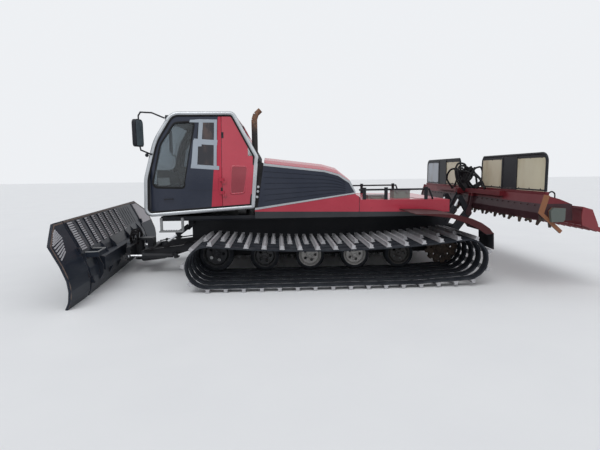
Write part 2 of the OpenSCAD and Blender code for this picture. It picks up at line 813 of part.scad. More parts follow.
// Steps below the doors: their hangers along X and their inner side
step_rows = [-2710, -2350];
step_inner = body_half - 70;
module steps() {
    color([0.2, 0.2, 0.21]) both_sides() {
        for (x = step_rows) block([x, -step_inner - 40, 860], [x + 40, -step_inner, platform_low + 60]);
        block([step_rows[0], -body_half - 50, 840], [step_rows[1] + 40, -step_inner, 862]);
    }
}

// Push frame

yaw_x = -3400;
yaw_pin_r = 40;
yoke_low = 215;
yoke_high = 560;
yoke_plate = 40;
module push_frame() {
    color([0.08, 0.08, 0.09]) {
        both_sides() difference() {
            union() {
                along_y(-arm_y - arm_w / 2, -arm_y + arm_w / 2) {
                    translate(push_pin) circle(75);
                    polygon([[push_pin.x + 20, push_pin.y + 72], [-2500, 505], [-2860, 470], [-3180, 420],
                        [-3180, 230], [-2800, 270], [push_pin.x - 20, push_pin.y - 72]]);
                }
                clevis_up(lift_tip.x, lift_tip.y, 42, -arm_y, eye_width, lift_pin_r, 470);
            }
            pipe_y(push_pin.x, push_pin.y, -700, -tub_half + 5, push_pin_r + fit);
        }
        along_y(-arm_y - arm_w / 2, arm_y + arm_w / 2) polygon(rounded([[-3220, 230, 30], [-3100, 240, 30],
            [-3100, 430, 30], [-3220, 430, 30]]));
        along_y(-130, 130) polygon([[-3220, 240], [-3120, 240], [-3120, yoke_high + yoke_plate],
            [-3220, yoke_high + yoke_plate]]);
        for (z = [yoke_low - yoke_plate, yoke_high]) translate([0, 0, z]) linear_extrude(yoke_plate)
            union() {
                translate([yaw_x, 0]) circle(95);
                polygon([[yaw_x, -95], [-3180, -130], [-3180, 130], [yaw_x, 95]]);
            }
        block([-3220, -130, yoke_low - yoke_plate], [-3120, 130, 260]);
        translate([yaw_x, 0, yoke_low - yoke_plate])
            cylinder(h = yoke_high - yoke_low + 2 * yoke_plate, r = yaw_pin_r);
        both_sides() angle_clevis(angle_base);
    }
}

module clevis_up(x, z, r, y, w, pin_r, low) {
    for (s = [-1, 1]) along_y(y + s * (w / 2 + ear_gap + ear / 2) - ear / 2,
            y + s * (w / 2 + ear_gap + ear / 2) + ear / 2)
        union() {
            translate([x, z]) circle(r);
            polygon([[x - r, low - 40], [x + r, low - 40], [x + r, z], [x - r, z]]);
        }
}

// Angle cylinders, one on each side: base pin on the push arm, rod pin on the head
angle_base = [-2560, -690, 350];
angle_tip = [-3480, -640, 350];
angle_pin_r = 18;
angle_eye = 44;
module angle_clevis(p) {
    for (z = [p.z - angle_eye / 2 - ear_gap - ear, p.z + angle_eye / 2 + ear_gap])
        translate([0, 0, z]) linear_extrude(ear) union() {
            translate([p.x, p.y]) circle(40);
            polygon([[p.x - 40, p.y], [p.x + 40, p.y], [p.x + 40, -arm_y - arm_w / 2],
                [p.x - 40, -arm_y - arm_w / 2]]);
        }
    translate([p.x, p.y, p.z - angle_eye / 2 - ear_gap - ear - 6])
        cylinder(h = angle_eye + 2 * ear_gap + 2 * ear + 12, r = angle_pin_r);
}

function across(p) = [p.x, -p.y, p.z];
function turned_point(p) = [yaw_x + (p.x - yaw_x) * cos(blade_yaw) - p.y * sin(blade_yaw),
    (p.x - yaw_x) * sin(blade_yaw) + p.y * cos(blade_yaw), p.z];

// Everything in front of the yaw pin stands turned with the blade
module turned() {
    translate([yaw_x, 0, 0]) rotate(blade_yaw) translate([-yaw_x, 0, 0]) children();
}

tilt_z = 390;
tilt_r = 55;
hub_front = -3640;
hub_rear = -3530;
module swivel_head() {
    color([0.1, 0.1, 0.11]) turned() {
        difference() {
            union() {
                translate([yaw_x, 0, yoke_low + 2]) cylinder(h = yoke_high - yoke_low - 4, r = 85);
                block([-3520, -90, yoke_low + 2], [yaw_x, 90, yoke_high - 2]);
                block([-3525, -590, 260], [-3455, 590, 500]);
                both_sides() for (z = [angle_tip.z - angle_eye / 2 - ear_gap - ear,
                        angle_tip.z + angle_eye / 2 + ear_gap])
                    block([angle_tip.x - 45, angle_tip.y - 50, z], [angle_tip.x + 25, -580, z + ear]);
            }
            translate([yaw_x, 0, 0]) cylinder(h = 1000, r = yaw_pin_r + fit);
        }
        translate([hub_front - 10, 0, tilt_z]) rotate([0, 90, 0]) cylinder(h = -3500 - hub_front + 10, r = tilt_r);
        translate([hub_front - 30, 0, tilt_z]) rotate([0, 90, 0]) cylinder(h = 20, r = tilt_r + 20);
    }
}

// Blade: its front face seen from the side, [x from the bottom edge, z]
edge_x = -3790;
edge_z = 18;
face_rows = [[0, 0], [46, 100], [62, 250], [44, 400], [-30, 600], [-130, 800], [-210, 960],
    [-290, blade_height - edge_z]];
face_path = [for (p = face_rows) [edge_x + p.x, edge_z + p.y]];
slot_low = 760;
slot_high = 1080;
module blade_sheet(y0, y1) {
    along_y(y0, y1) polygon(strip([for (i = [len(face_path) - 1:-1:0]) face_path[i]], sheet));
}

// Upright slots through the top of the sheet
module sheet_slots(y0, y1, step, w, low, high) {
    for (y = [y0:step:y1]) block([-4400, y, low], [-3600, y + w, high]);
}

// Hinge line of a wing, in the blade's own stand
wing_gap = 28;
wing_axis_low = [edge_x + 110, -blade_half - wing_gap, 0];
wing_axis_dir = [-0.27, 0, 1];
knuckle_r = 22;
wing_pin_r = 10;
module lug_slab(a, b, side, near, far, front, back) {
    along_y(side < 0 ? a.y - far : a.y + near, side < 0 ? a.y - near : a.y + far)
        polygon([[a.x - front, a.z], [a.x + back, a.z], [b.x + back, b.z], [b.x - front, b.z]]);
}

module wing_knuckle(z0, z1, side) {
    a = wing_axis_low + wing_axis_dir * z0;
    b = wing_axis_low + wing_axis_dir * z1;
    difference() {
        union() {
            rod_between(a, b, knuckle_r);
            lug_slab(a, b, side, 0, wing_gap, knuckle_r - 4, knuckle_r - 4);
            lug_slab(a, b, side, wing_gap, wing_gap + 40, 30, 80);
        }
        rod_between(a - wing_axis_dir * 20, b + wing_axis_dir * 20, wing_pin_r + fit);
    }
}

knuckle_rows = [[200, 300], [560, 660]];
knuckle_gap = 12;
module blade() {
    color([0.09, 0.1, 0.13]) turned() {
        difference() {
            blade_sheet(-blade_half, blade_half);
            sheet_slots(-blade_half + 120, blade_half - 200, 180, 90, slot_low, slot_high);
        }
        difference() {
            along_y(-1500, 1500) polygon([[edge_x + 70, 300], [hub_front, 290], [hub_front, 510],
                [edge_x + 40, 530]]);
            translate([-3700, 0, tilt_z]) rotate([0, 90, 0]) cylinder(h = 300, r = tilt_r + 40);
        }
        difference() {
            translate([hub_front, 0, tilt_z]) rotate([0, 90, 0]) cylinder(h = hub_rear - hub_front, r = 128);
            translate([hub_front - 50, 0, tilt_z]) rotate([0, 90, 0]) cylinder(h = 300, r = tilt_r + fit);
        }
        both_sides() for (k = knuckle_rows) wing_knuckle(k[0], k[1], 1);
    }
}

// A wing: the same sheet, cut at its top outer corner
wing_start = -blade_half - 2 * wing_gap;
wing_top = 270;
wing_corner = 890;
module wing(fold) {
    translate(wing_axis_low) rotate(a = fold, v = wing_axis_dir) translate(-wing_axis_low) {
        difference() {
            blade_sheet(wing_start - wing_length, wing_start);
            translate([0, wing_start, 0]) along_x(-4500, -3600) polygon([
                [-wing_top, blade_height + 60], [-wing_top, blade_height + 5],
                [-wing_length - 10, wing_corner], [-wing_length - 10, blade_height + 60]]);
            sheet_slots(wing_start - wing_length + 110, wing_start - 150, 110, 50, 700, 930);
        }
        for (k = knuckle_rows) wing_knuckle(k[1] + knuckle_gap, 2 * k[1] - k[0], -1);
    }
}

module wing_left() {
    color([0.12, 0.11, 0.12]) turned() wing(left_fold);
}

module wing_right() {
    color([0.12, 0.11, 0.12]) turned() mirror([0, 1, 0]) wing(right_fold);
}

// Lift cylinders
lift_bore = 24;
module lift_barrels() {
    color([0.08, 0.08, 0.09]) both_sides() aim([lift_base.x, -arm_y, lift_base.y], [lift_tip.x, -arm_y, lift_tip.y])
        barrel(340, 45, lift_bore, 42, eye_width, lift_pin_r, 64);
}

module lift_rods() {
    l = norm(lift_tip - lift_base);
    color([0.75, 0.76, 0.78]) both_sides() aim([lift_base.x, -arm_y, lift_base.y], [lift_tip.x, -arm_y, lift_tip.y])
        piston_rod(230, l, lift_bore, 36, eye_width, lift_pin_r);
}

angle_bore = 20;
// Length of an angle cylinder, pin to pin, when it is closed
angle_closed = 677;
angle_neck = 56;
module angle_barrel(base, tip) {
    color([0.08, 0.08, 0.09]) aim(base, tip) rotate(90)
        barrel(610, 40, angle_bore, 36, angle_eye, angle_pin_r, angle_neck);
}

module angle_rod(base, tip) {
    l = norm(tip - base);
    color([0.75, 0.76, 0.78]) aim(base, tip) rotate(90)
        piston_rod(l - angle_closed + angle_neck + barrel_end + 8, l, angle_bore, 32, angle_eye, angle_pin_r);
}

module angle_barrel_left() {
    angle_barrel(angle_base, turned_point(angle_tip));
}

module angle_rod_left() {
    angle_rod(angle_base, turned_point(angle_tip));
}

module angle_barrel_right() {
    angle_barrel(across(angle_base), turned_point(across(angle_tip)));
}

module angle_rod_right() {
    angle_rod(across(angle_base), turned_point(across(angle_tip)));
}

// Rear bracket on the tub: pins of the lower arms, the lift cylinders and the top link
arm_pin = [2540, 420];
arm_pin_r = 32;
rear_base = [2520, 700];
link_pin = [2540, 600];
link_pin_r = 20;
rear_y = 355;
plate = 20;
fork_gap = 50;
fork_w = fork_gap + 2 * plate;
bracket_plate = 22;
link_w = 50;
module plates(y, inner, t) {
    for (s = [-1, 1]) along_y(y + s * (inner / 2 + t / 2) - t / 2, y + s * (inner / 2 + t / 2) + t / 2)
        children();
}

module rear_bracket() {
    color([0.1, 0.1, 0.11]) {
        both_sides() {
            plates(-rear_y, fork_w + 2 * ear_gap, bracket_plate)
                polygon(rounded([[2470, 560, 0], [2480, 360, 20], [2600, 350, 60], [2620, 480, 60],
                    [2590, 760, 50], [2470, 960, 0]]));
            pipe_y(arm_pin.x, arm_pin.y, -rear_y - fork_w / 2 - 36, -rear_y + fork_w / 2 + 36, arm_pin_r);
            pipe_y(rear_base.x, rear_base.y, -rear_y - fork_w / 2 - 30, -rear_y + fork_w / 2 + 30, lift_pin_r);
        }
        plates(0, link_w + 2 * ear_gap, bracket_plate)
            polygon(rounded([[2470, 540, 0], [2570, 540, 30], [2590, 660, 40], [2470, 700, 0]]));
        pipe_y(link_pin.x, link_pin.y, -60, 60, link_pin_r);
    }
}

// Lower arms of the tiller: twin plates with the lift cylinder's rod between them
tiller_pin = [3010, 1010];
tiller_pin_r = 30;
rear_tip = [2840, 1310];
module arm_outline() {
    translate(arm_pin) circle(66);
    translate(tiller_pin) circle(62);
    translate(rear_tip) circle(50);
    polygon([[arm_pin.x + 52, arm_pin.y - 40], [tiller_pin.x + 50, tiller_pin.y - 36],
        [tiller_pin.x + 60, tiller_pin.y + 10], [rear_tip.x + 48, rear_tip.y + 12],
        [rear_tip.x - 49, rear_tip.y - 8], [tiller_pin.x - 70, tiller_pin.y + 40],
        [arm_pin.x - 52, arm_pin.y + 40]]);
}

module tiller_frame() {
    color([0.1, 0.1, 0.11]) {
        both_sides() difference() {
            union() {
                plates(-rear_y, fork_gap, plate) arm_outline();
                block([2740, -rear_y - fork_gap / 2, 700], [2800, -rear_y + fork_gap / 2, 760]);
                block([2895, -rear_y - fork_gap / 2, 1120], [2945, -rear_y + fork_gap / 2, 1200]);
            }
            pipe_y(arm_pin.x, arm_pin.y, -600, 0, arm_pin_r + fit);
            pipe_y(tiller_pin.x, tiller_pin.y, -600, 0, tiller_pin_r + fit);
        }
        pipe_y(2780, 730, -rear_y + fork_w / 2, rear_y - fork_w / 2, 46);
    }
}

// Top link: a flat bar with two eyes
link_tip = [2950, 1430];
module top_link() {
    l = norm(link_tip - link_pin);
    color([0.1, 0.1, 0.11]) aim([link_pin.x, 0, link_pin.y], [link_tip.x, 0, link_tip.y]) difference() {
        union() {
            translate([0, 0, l / 2]) cube([44, 30, l - 20], center = true);
            pipe_y(0, 0, -link_w / 2, link_w / 2, 38);
            pipe_y(0, l, -link_w / 2, link_w / 2, 34);
        }
        pipe_y(0, 0, -60, 60, link_pin_r + fit);
        pipe_y(0, l, -60, 60, link_pin_r);
    }
}

// Tiller: a folded hood over the rotor, with an end plate and a V-shaped bearing arm at each end

hood_plate = 12;
end_plate = 16;
shield_x = 3200;
shield_low = 1512;
finisher_pin = [3592, 1296];
finisher_pin_r = 10;
ear_rows = [-2100, -700, 700, 2100];
// The hood's skin from its rear edge over the top to its front lip
skin_path = [[3574, 1130], [3556, 1332], [3367, 1410], [3150, 1470], [3066, 1212], [3078, 1112]];
// The red end plate behind the bearing arm, and the arm's outline
end_rows = [[3367, 1410], [3150, 1470], [3066, 1212], [3120, 1140], [3385, 1084], [3574, 1100], [3556, 1332]];
arm_rows = [[3128, 1478], [3052, 1212], [3392, 912], [3424, 952], [3136, 1206], [3212, 1462]];
motor_rows = [[-86, -96], [86, -96], [110, -60], [110, 100], [-60, 110], [-110, 60]];
motor_width = 70;
module tiller_housing() {
    color([0.45, 0.06, 0.09]) {
        along_y(-tiller_half, tiller_half) polygon(strip(skin_path, hood_plate));
        along_y(-1500, 1500) polygon([[3050, 1400], [3134, 1400], [3158, 1480], [3050, 1480]]);
        along_y(-tiller_half + 20, tiller_half - 20) polygon([[shield_x - 25, 1440], [shield_x + 25, 1440],
            [shield_x + 25, shield_low], [shield_x - 25, shield_low]]);
        both_sides() {
            difference() {
                union() {
                    along_y(-tiller_half - end_plate, -tiller_half) polygon(end_rows);
                    along_y(-tiller_half - 2 * end_plate, -tiller_half) polygon(arm_rows);
                    along_y(-tiller_half - end_plate - motor_width, -tiller_half)
                        translate([rotor_x, rotor_z]) polygon(motor_rows);
                }
                pipe_y(rotor_x, rotor_z, -tiller_half - motor_width, -tiller_half + 30, rotor_shaft + fit);
            }
            plates(-rear_y, fork_w + 2 * ear_gap, bracket_plate) polygon(rounded([[2950, 960, 50],
                [3062, 960, 50], [3046, 1150, 0], [3082, 1240, 0], [3134, 1400, 0], [3060, 1470, 0],
                [3015, 1200, 30], [2950, 1060, 50]]));
            pipe_y(tiller_pin.x, tiller_pin.y, -rear_y - fork_w / 2 - 36, -rear_y + fork_w / 2 + 36,
                tiller_pin_r);
        }
        plates(0, link_w + 2 * ear_gap, bracket_plate) polygon(rounded([[link_tip.x - 40, 1380, 30],
            [3070, 1390, 0], [3070, 1480, 0], [link_tip.x - 40, 1480, 30]]));
        for (y = ear_rows) {
            along_y(y - 10, y + 10) polygon([[3550, 1334], [3606, 1312], [3612, 1290], [3590, 1274],
                [3560, 1280]]);
            pipe_y(finisher_pin.x, finisher_pin.y, y - 62, y + 62, finisher_pin_r);
        }
    }
}

// Snow shields: the panels' ends along Y, on each side
shield_rows = [[540, 1300], [1750, 2540]];
shield_sheet = 14;
module snow_shields() {
    color([0.82, 0.78, 0.66]) both_sides() for (s = shield_rows) intersection() {
        block([shield_x - shield_sheet / 2, -s[1], shield_low],
            [shield_x + shield_sheet / 2, -s[0], shield_top]);
        in_shield_plane(2 * shield_sheet)
            frame_panel(-frame_r - seat, shield_low, shield_top - 2 * frame_r - seat);
    }
}

// Their frame: two posts with a rounded outer corner, a top rail and a dark middle panel
frame_r = 20;
frame_outer = 2560;
frame_inner = 520;
frame_bend = 120;
module frame_panel(t, low, high) {
    polygon(rounded([[frame_inner - t, low, 0], [frame_outer + t, low, 0],
        [frame_outer + t, high, frame_bend + t], [frame_inner - t, high, 10]], 5));
}

module in_shield_plane(t) {
    translate([shield_x, 0, 0]) rotate([90, 0, -90]) linear_extrude(t, center = true) children();
}

module shield_frames() {
    color([0.06, 0.06, 0.07]) both_sides() {
        in_shield_plane(2 * frame_r) difference() {
            frame_panel(frame_r, shield_low, shield_top);
            frame_panel(-frame_r, shield_low - 5, shield_top - 2 * frame_r);
        }
        block([shield_x - 12, -shield_rows[1][0], shield_low],
            [shield_x + 12, -shield_rows[0][1], shield_top - 2 * frame_r]);
    }
}

rotor_rows = 26;
rotor_shaft = 45;
module tiller_rotor() {
    color([0.13, 0.12, 0.13]) {
        pipe_y(rotor_x, rotor_z, -tiller_half + 40, tiller_half - 40, drum_radius);
        pipe_y(rotor_x, rotor_z, -tiller_half - end_plate, tiller_half + end_plate, rotor_shaft);
        for (i = [0:rotor_rows - 1]) {
            y = -tiller_half + 90 + i * (2 * tiller_half - 180 - 24) / (rotor_rows - 1);
            for (k = [0:3]) translate([rotor_x, y, rotor_z]) rotate([0, 90 * k + i * 24, 0])
                along_y(0, 24) polygon([[-42, drum_radius - 12], [30, drum_radius - 12], [10, tooth_radius],
                    [-18, tooth_radius]]);
        }
    }
}

// Finisher: a frame hinged behind the hood, with a trailing mat and its combing ribs
finisher_end = 4245;
finisher_half = tiller_half + 140;
mat_path = [[finisher_end, 890], [3880, 1010], [3872, 1052], [3780, 1262], [3640, 1304]];
mat_sheet = 14;
comb_count = 36;
module finisher() {
    color([0.55, 0.09, 0.12]) difference() {
        union() {
            along_y(-finisher_half, finisher_half) polygon(strip(mat_path, mat_sheet));
            both_sides() along_y(-finisher_half, -finisher_half + 14) polygon([[3640, 1304], [3624, 1170],
                [3640, 1040], [3862, 950], [finisher_end, 860], [finisher_end, 895], [3880, 1015], [3872, 1052],
                [3780, 1262]]);
            for (i = [0:comb_count - 1]) translate([0, -finisher_half + 60
                    + i * (2 * finisher_half - 120 - 26) / (comb_count - 1), 0])
                along_y(0, 26) polygon([[3890, 1000], [finisher_end, 884], [finisher_end, 862], [3900, 968]]);
            for (y = ear_rows) for (s = [-1, 1]) {
                pipe_y(finisher_pin.x, finisher_pin.y, y + s * 36 - 22, y + s * 36 + 22, 22);
                along_y(y + s * 36 - 22, y + s * 36 + 22)
                    polygon([[3600, 1280], [3650, 1284], [3650, 1304], [3600, 1316]]);
            }
        }
        for (y = ear_rows) pipe_y(finisher_pin.x, finisher_pin.y, y - 80, y + 80, finisher_pin_r + fit);
    }
}

module tiller_barrels() {
    color([0.08, 0.08, 0.09]) both_sides() aim([rear_base.x, -rear_y, rear_base.y],
            [rear_tip.x, -rear_y, rear_tip.y])
        barrel(500, 42, lift_bore, 42, fork_w - 2, lift_pin_r, 40);
}

module tiller_rods() {
    color([0.75, 0.76, 0.78]) both_sides() aim([rear_base.x, -rear_y, rear_base.y],
            [rear_tip.x, -rear_y, rear_tip.y])
        piston_rod(90, norm(rear_tip - rear_base), lift_bore, 34, eye_width - 4, lift_pin_r);
}

// Valve block for the tiller's hoses, with its row of fittings
valve_half = 210;
valve_low = 1480 + seat;
module hoses() {
    color([0.05, 0.05, 0.06]) {
        block([3052, -valve_half, valve_low], [3104, valve_half, valve_low + 90]);
        for (y = [-valve_half + 40:68:valve_half - 30]) {
            translate([3078, y, valve_low + 90]) cylinder(h = 46, r = 17);
            translate([3078, y, valve_low + 136]) cylinder(h = 14, r = 23);
        }
    }
}

tub();
platform();
engine_block();
track_left();
track_right();
tyres();
rims();
sprockets();
wheel_arms();
side_sills();
load_deck();
deck_rails();
deck_boxes();
fenders();
cab_shell();
cab_frames();
windscreen();
rear_glass();
seats();
dashboard();
door_left();
door_right();
door_glass_left();
door_glass_right();
hood_sides();
hood_trims();
hood_cover();
hood_hinges();
exhaust();
mirrors();
lamps();
steps();
push_frame();
swivel_head();
blade();
wing_left();
wing_right();
lift_barrels();
lift_rods();
angle_barrel_left();
angle_rod_left();
angle_barrel_right();
angle_rod_right();
rear_bracket();
tiller_frame();
top_link();
tiller_housing();
snow_shields();
shield_frames();
tiller_rotor();
finisher();
tiller_barrels();
tiller_rods();
hoses();
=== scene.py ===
"""Looks of the snowcat groomer: finishes for the CAD nodes, and the detail that rides on them."""

import random
from math import asin, atan, atan2, cos, pi, radians, sin, tan

import bpy
from mathutils import Matrix, Vector


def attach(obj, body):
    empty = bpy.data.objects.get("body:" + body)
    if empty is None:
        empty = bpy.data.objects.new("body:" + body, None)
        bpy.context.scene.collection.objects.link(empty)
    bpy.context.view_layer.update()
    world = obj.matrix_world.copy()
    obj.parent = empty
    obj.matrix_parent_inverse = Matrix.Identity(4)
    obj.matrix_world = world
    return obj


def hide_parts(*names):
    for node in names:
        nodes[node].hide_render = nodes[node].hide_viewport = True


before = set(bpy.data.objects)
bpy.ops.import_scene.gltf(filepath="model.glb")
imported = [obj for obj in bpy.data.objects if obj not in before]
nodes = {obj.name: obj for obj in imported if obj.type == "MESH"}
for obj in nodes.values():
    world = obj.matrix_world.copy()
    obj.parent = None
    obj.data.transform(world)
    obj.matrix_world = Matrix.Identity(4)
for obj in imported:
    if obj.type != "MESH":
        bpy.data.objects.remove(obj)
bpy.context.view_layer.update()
random.seed(7)

# The camera, fitted to the photograph
PHOTO_WIDTH = 600
FOCAL_PX = 450
SENSOR_MM = 36
CAMERA_AT = Vector((-0.700, -8.9079, 1.8577))
CAMERA_YAW = radians(2.9146)
CAMERA_PITCH = radians(6.8615)
CAMERA_ROLL = radians(-0.6842)
CLIP_END = 300


# Node trees

ZONE_BLEND = 0.004
EDGE_RADIUS = 0.006


class Tree:
    """A material's node tree, with short calls for the nodes that the finishes share."""

    def __init__(self, name):
        self.material = bpy.data.materials.new(name)
        self.material.use_nodes = True
        self.nodes = self.material.node_tree.nodes
        self.links = self.material.node_tree.links
        self.shader = self.nodes["Principled BSDF"]
        self.coords = self.nodes.new("ShaderNodeTexCoord").outputs["Object"]

    def put(self, socket, value):
        if isinstance(value, bpy.types.NodeSocket):
            self.links.new(value, socket)
        elif isinstance(value, (tuple, list)) and len(value) == 3 and socket.type == "RGBA":
            socket.default_value = (*value, 1)
        else:
            socket.default_value = value

    def node(self, kind, outlet, inputs, **settings):
        """The outlet of a new node, with its settings made and its inputs filled."""
        node = self.nodes.new("ShaderNode" + kind)
        for key, value in settings.items():
            setattr(node, key, value)
        for key, value in inputs.items():
            self.put(node.inputs[key], value)
        return node.outputs[outlet]

    def noise(self, scale, detail=4, rough=0.55, stretch=None):
        """Noise, with the coordinates stretched by a factor per axis."""
        at = self.coords
        if stretch:
            at = self.node("Mapping", "Vector", {"Vector": at, "Scale": stretch})
        return self.node("TexNoise", "Fac",
                         {"Vector": at, "Scale": scale, "Detail": detail, "Roughness": rough})

    def wave(self, scale, direction):
        return self.node("TexWave", "Fac", {"Vector": self.coords, "Scale": scale}, bands_direction=direction)

    def ramp(self, value, low, high, to_low=0.0, to_high=1.0):
        """A value's range from low to high, spread smoothly over to_low to to_high."""
        return self.node("MapRange", "Result", {"Value": value, "From Min": low, "From Max": high,
                                                "To Min": to_low, "To Max": to_high},
                         interpolation_type="SMOOTHSTEP")

    def math(self, kind, a, b):
        """A sum or product, held between 0 and 1."""
        return self.node("Math", "Value", {0: a, 1: b}, operation=kind, use_clamp=True)

    def mix(self, factor, a, b):
        return self.node("Mix", "Result", {"Factor": factor, "A": a, "B": b}, data_type="RGBA")

    def height(self):
        return self.node("SeparateXYZ", "Z", {"Vector": self.coords})

    def dot(self, a, b):
        return self.node("VectorMath", "Value", {0: a, 1: b}, operation="DOT_PRODUCT")

    def rounded_normal(self, radius, samples):
        """The normal as if the solid's edges were rounded."""
        return self.node("Bevel", "Normal", {"Radius": radius}, samples=samples)

    def edges(self):
        """1 along the solid's edges, 0 elsewhere."""
        turned = self.dot(self.rounded_normal(EDGE_RADIUS, 4), self.node("NewGeometry", "Normal", {}))
        return self.ramp(turned, 0.985, 0.88)

    def bump(self, value, strength, distance, below=None):
        inputs = {"Height": value, "Strength": strength, "Distance": distance}
        if below:
            inputs["Normal"] = below
        return self.node("Bump", "Normal", inputs)

    def varied(self, cloud, color, low, high, zones=()):
        """A color that a cloud turns darker and lighter, and the color of each zone.

        Each zone is (vector, start, color): the color past start along the vector.
        """
        tone = self.mix(cloud, darker(color, low), darker(color, high))
        for vector, start, other in zones:
            there = self.ramp(self.dot(self.coords, vector), start, start + ZONE_BLEND)
            tone = self.mix(there, tone, self.varied(cloud, other, low, high))
        return tone

    def finish(self, **values):
        for key, value in values.items():
            self.put(self.shader.inputs[key.replace("_", " ")], value)
        return self.material


def darker(color, by):
    return tuple(c * by for c in color)


def paint(name, color, rough, coat, dust, wear=0.5, wear_color=(0.23, 0.19, 0.17), low=0.0, high=1.4,
          zones=(), specular=0.5, soften=0.0, dust_color=(0.42, 0.40, 0.37)):
    """Sprayed metal with uneven gloss, a film of road dust that thickens downwards, and worn edges."""
    t = Tree(name)
    broad = t.noise(1.7, 5)
    fine = t.noise(38, 6, 0.65)
    tone = t.varied(broad, color, 0.80, 1.16, zones)
    settled = t.ramp(t.height(), low, high, dust, dust * 0.35)
    clouded = t.ramp(t.math("ADD", broad, t.math("MULTIPLY", fine, 0.5)), 0.45, 1.05)
    film = t.math("MULTIPLY", clouded, settled)
    chips = t.math("MULTIPLY", t.edges(), t.ramp(t.noise(14, 5, 0.7), 0.46, 0.60, 0.0, wear))
    specks = t.ramp(t.noise(95, 3, 0.5), 0.72, 0.76, 0.0, wear * 0.7)
    base = t.mix(t.math("ADD", chips, specks), t.mix(film, tone, dust_color), wear_color)
    gloss = t.ramp(t.math("ADD", film, t.math("MULTIPLY", fine, 0.3)), 0.0, 0.7, rough, min(1, rough + 0.35))
    normal = t.bump(t.noise(240, 2), 0.05, 0.002, t.rounded_normal(soften, 8) if soften else None)
    return t.finish(Base_Color=base, Roughness=gloss, Normal=normal, Coat_Weight=coat,
                    Coat_Roughness=0.12, Specular_IOR_Level=specular)


def bare_metal(name, color, rough, stained, stain=(0.25, 0.20, 0.16), brushed=(1, 1, 1), metal=0.92):
    """Bare metal, a little uneven, stained in blotches and scratched along brushed."""
    t = Tree(name)
    tone = t.varied(t.noise(5, 6, 0.6), color, 0.75, 1.15)
    dirty = t.ramp(t.noise(11, 6, 0.7), 0.48, 0.72, 0.0, stained)
    lines = t.noise(40, 4, 0.6, brushed)
    return t.finish(Base_Color=t.mix(dirty, tone, stain),
                    Metallic=t.ramp(dirty, 0.0, 0.6, metal, metal * 0.3),
                    Roughness=t.ramp(lines, 0.2, 0.8, rough - 0.1, rough + 0.2),
                    Normal=t.bump(lines, 0.18, 0.001))


def rusty(name, color, pale, dark, sooty=None):
    """Scaled rust over dark steel, black with soot below the height sooty."""
    t = Tree(name)
    base = t.mix(t.ramp(t.noise(9, 8, 0.68), 0.35, 0.62), dark, color)
    base = t.mix(t.ramp(t.noise(31, 6, 0.7), 0.5, 0.72), base, pale)
    if sooty:
        base = t.mix(t.ramp(t.height(), sooty - 0.12, sooty + 0.10), (0.022, 0.020, 0.020), base)
    scale = t.noise(120, 5, 0.7)
    return t.finish(Base_Color=base, Metallic=0.15, Roughness=t.ramp(scale, 0.3, 0.7, 0.68, 0.92),
                    Normal=t.bump(scale, 0.5, 0.003))


def rubber(name, color, dust, dust_color=(0.26, 0.25, 0.24)):
    """Matt rubber with dried slush in its pores."""
    t = Tree(name)
    grain = t.noise(170, 4, 0.6)
    film = t.ramp(t.math("ADD", t.noise(7, 6, 0.62), t.math("MULTIPLY", grain, 0.4)), 0.55, 1.05, 0.0, dust)
    return t.finish(Base_Color=t.mix(film, color, dust_color), Roughness=t.ramp(grain, 0.3, 0.7, 0.62, 0.85),
                    Specular_IOR_Level=0.2, Normal=t.bump(grain, 0.35, 0.002))


def plastic(name, color, rough, dirt, dirt_color, grain=260, zones=()):
    """Moulded plastic with a fine grain and dirt that runs down it."""
    t = Tree(name)
    pores = t.noise(grain, 3, 0.5)
    film = t.ramp(t.noise(3.5, 5, 0.55, (1, 1, 0.45)), 0.44, 0.74, 0.0, dirt)
    tone = t.varied(t.noise(2.2, 4), color, 0.9, 1.07, zones)
    gloss = t.ramp(t.math("ADD", film, t.math("MULTIPLY", pores, 0.3)), 0, 0.6, rough - 0.08, rough + 0.25)
    return t.finish(Base_Color=t.mix(film, tone, dirt_color), Roughness=gloss,
                    Normal=t.bump(pores, 0.12, 0.001))


def pane(name, tint):
    """Tinted glass with a film of dried spray."""
    t = Tree(name)
    smear = 0.05
    film = t.ramp(t.noise(6, 6, 0.62, (1, 1, 0.35)), 0.50, 0.85, 0.0, smear)
    return t.finish(Base_Color=t.mix(film, tint, (0.55, 0.56, 0.56)), IOR=1.45,
                    Roughness=t.ramp(film, 0, smear, 0.01, 0.10),
                    Transmission_Weight=t.ramp(film, 0, 1, 0.97, 0.3))


def cloth(name, color):
    """Woven seat cloth."""
    t = Tree(name)
    weave = t.math("MULTIPLY", t.wave(180, "X"), t.wave(180, "Z"))
    tone = t.mix(weave, darker(color, 0.6), darker(color, 1.3))
    return t.finish(Base_Color=t.mix(t.noise(3), tone, darker(color, 0.8)), Roughness=0.9,
                    Sheen_Weight=0.3, Normal=t.bump(weave, 0.4, 0.001))


# Colors, and the zones where a node changes color: a vector and the start along it

RED = (0.400, 0.020, 0.046)
NAVY = (0.0120, 0.0175, 0.0350)
# Near black, tinted blue as painted shade, like the wheels', tyres' and belts' dark colours
BLACK = (0.0095, 0.0115, 0.0165)
GREY_GREEN = (0.20, 0.24, 0.22)
SILVER = (0.43, 0.45, 0.47)
CREAM = (0.60, 0.56, 0.41)
ORANGE_RUST = (0.205, 0.080, 0.034)
SLUSH = (0.22, 0.23, 0.25)
DOOR_SPLIT = ((1, 0, -0.0892), -1.931)
SILL_FOOT = ((-0.0163, 0, -1), -1.154)
CAB_SKINS = [((0, -1, 0), 1.128), ((0, 1, 0), 1.128), ((0, -1, 0.1476), 1.386), ((0, 1, 0.1476), 1.386),
             ((0, 0, 1), 2.862), ((0.883, 0, 0.469), 0.084), ((0.9963, 0, -0.0858), -1.206),
             ((-1, 0, 0), 2.905)]
CAB_FOOT = ((0.0643, 0, -1), -1.296)
FENDER_FLAP = ((0, 0, -1), -0.845)
# Below 1.345 m the tiller housing turns near black: partly its dark paint, partly painted shade
TILLER_FOOT_DARK_AND_SHADED = ((0, 0, -1), -1.345)
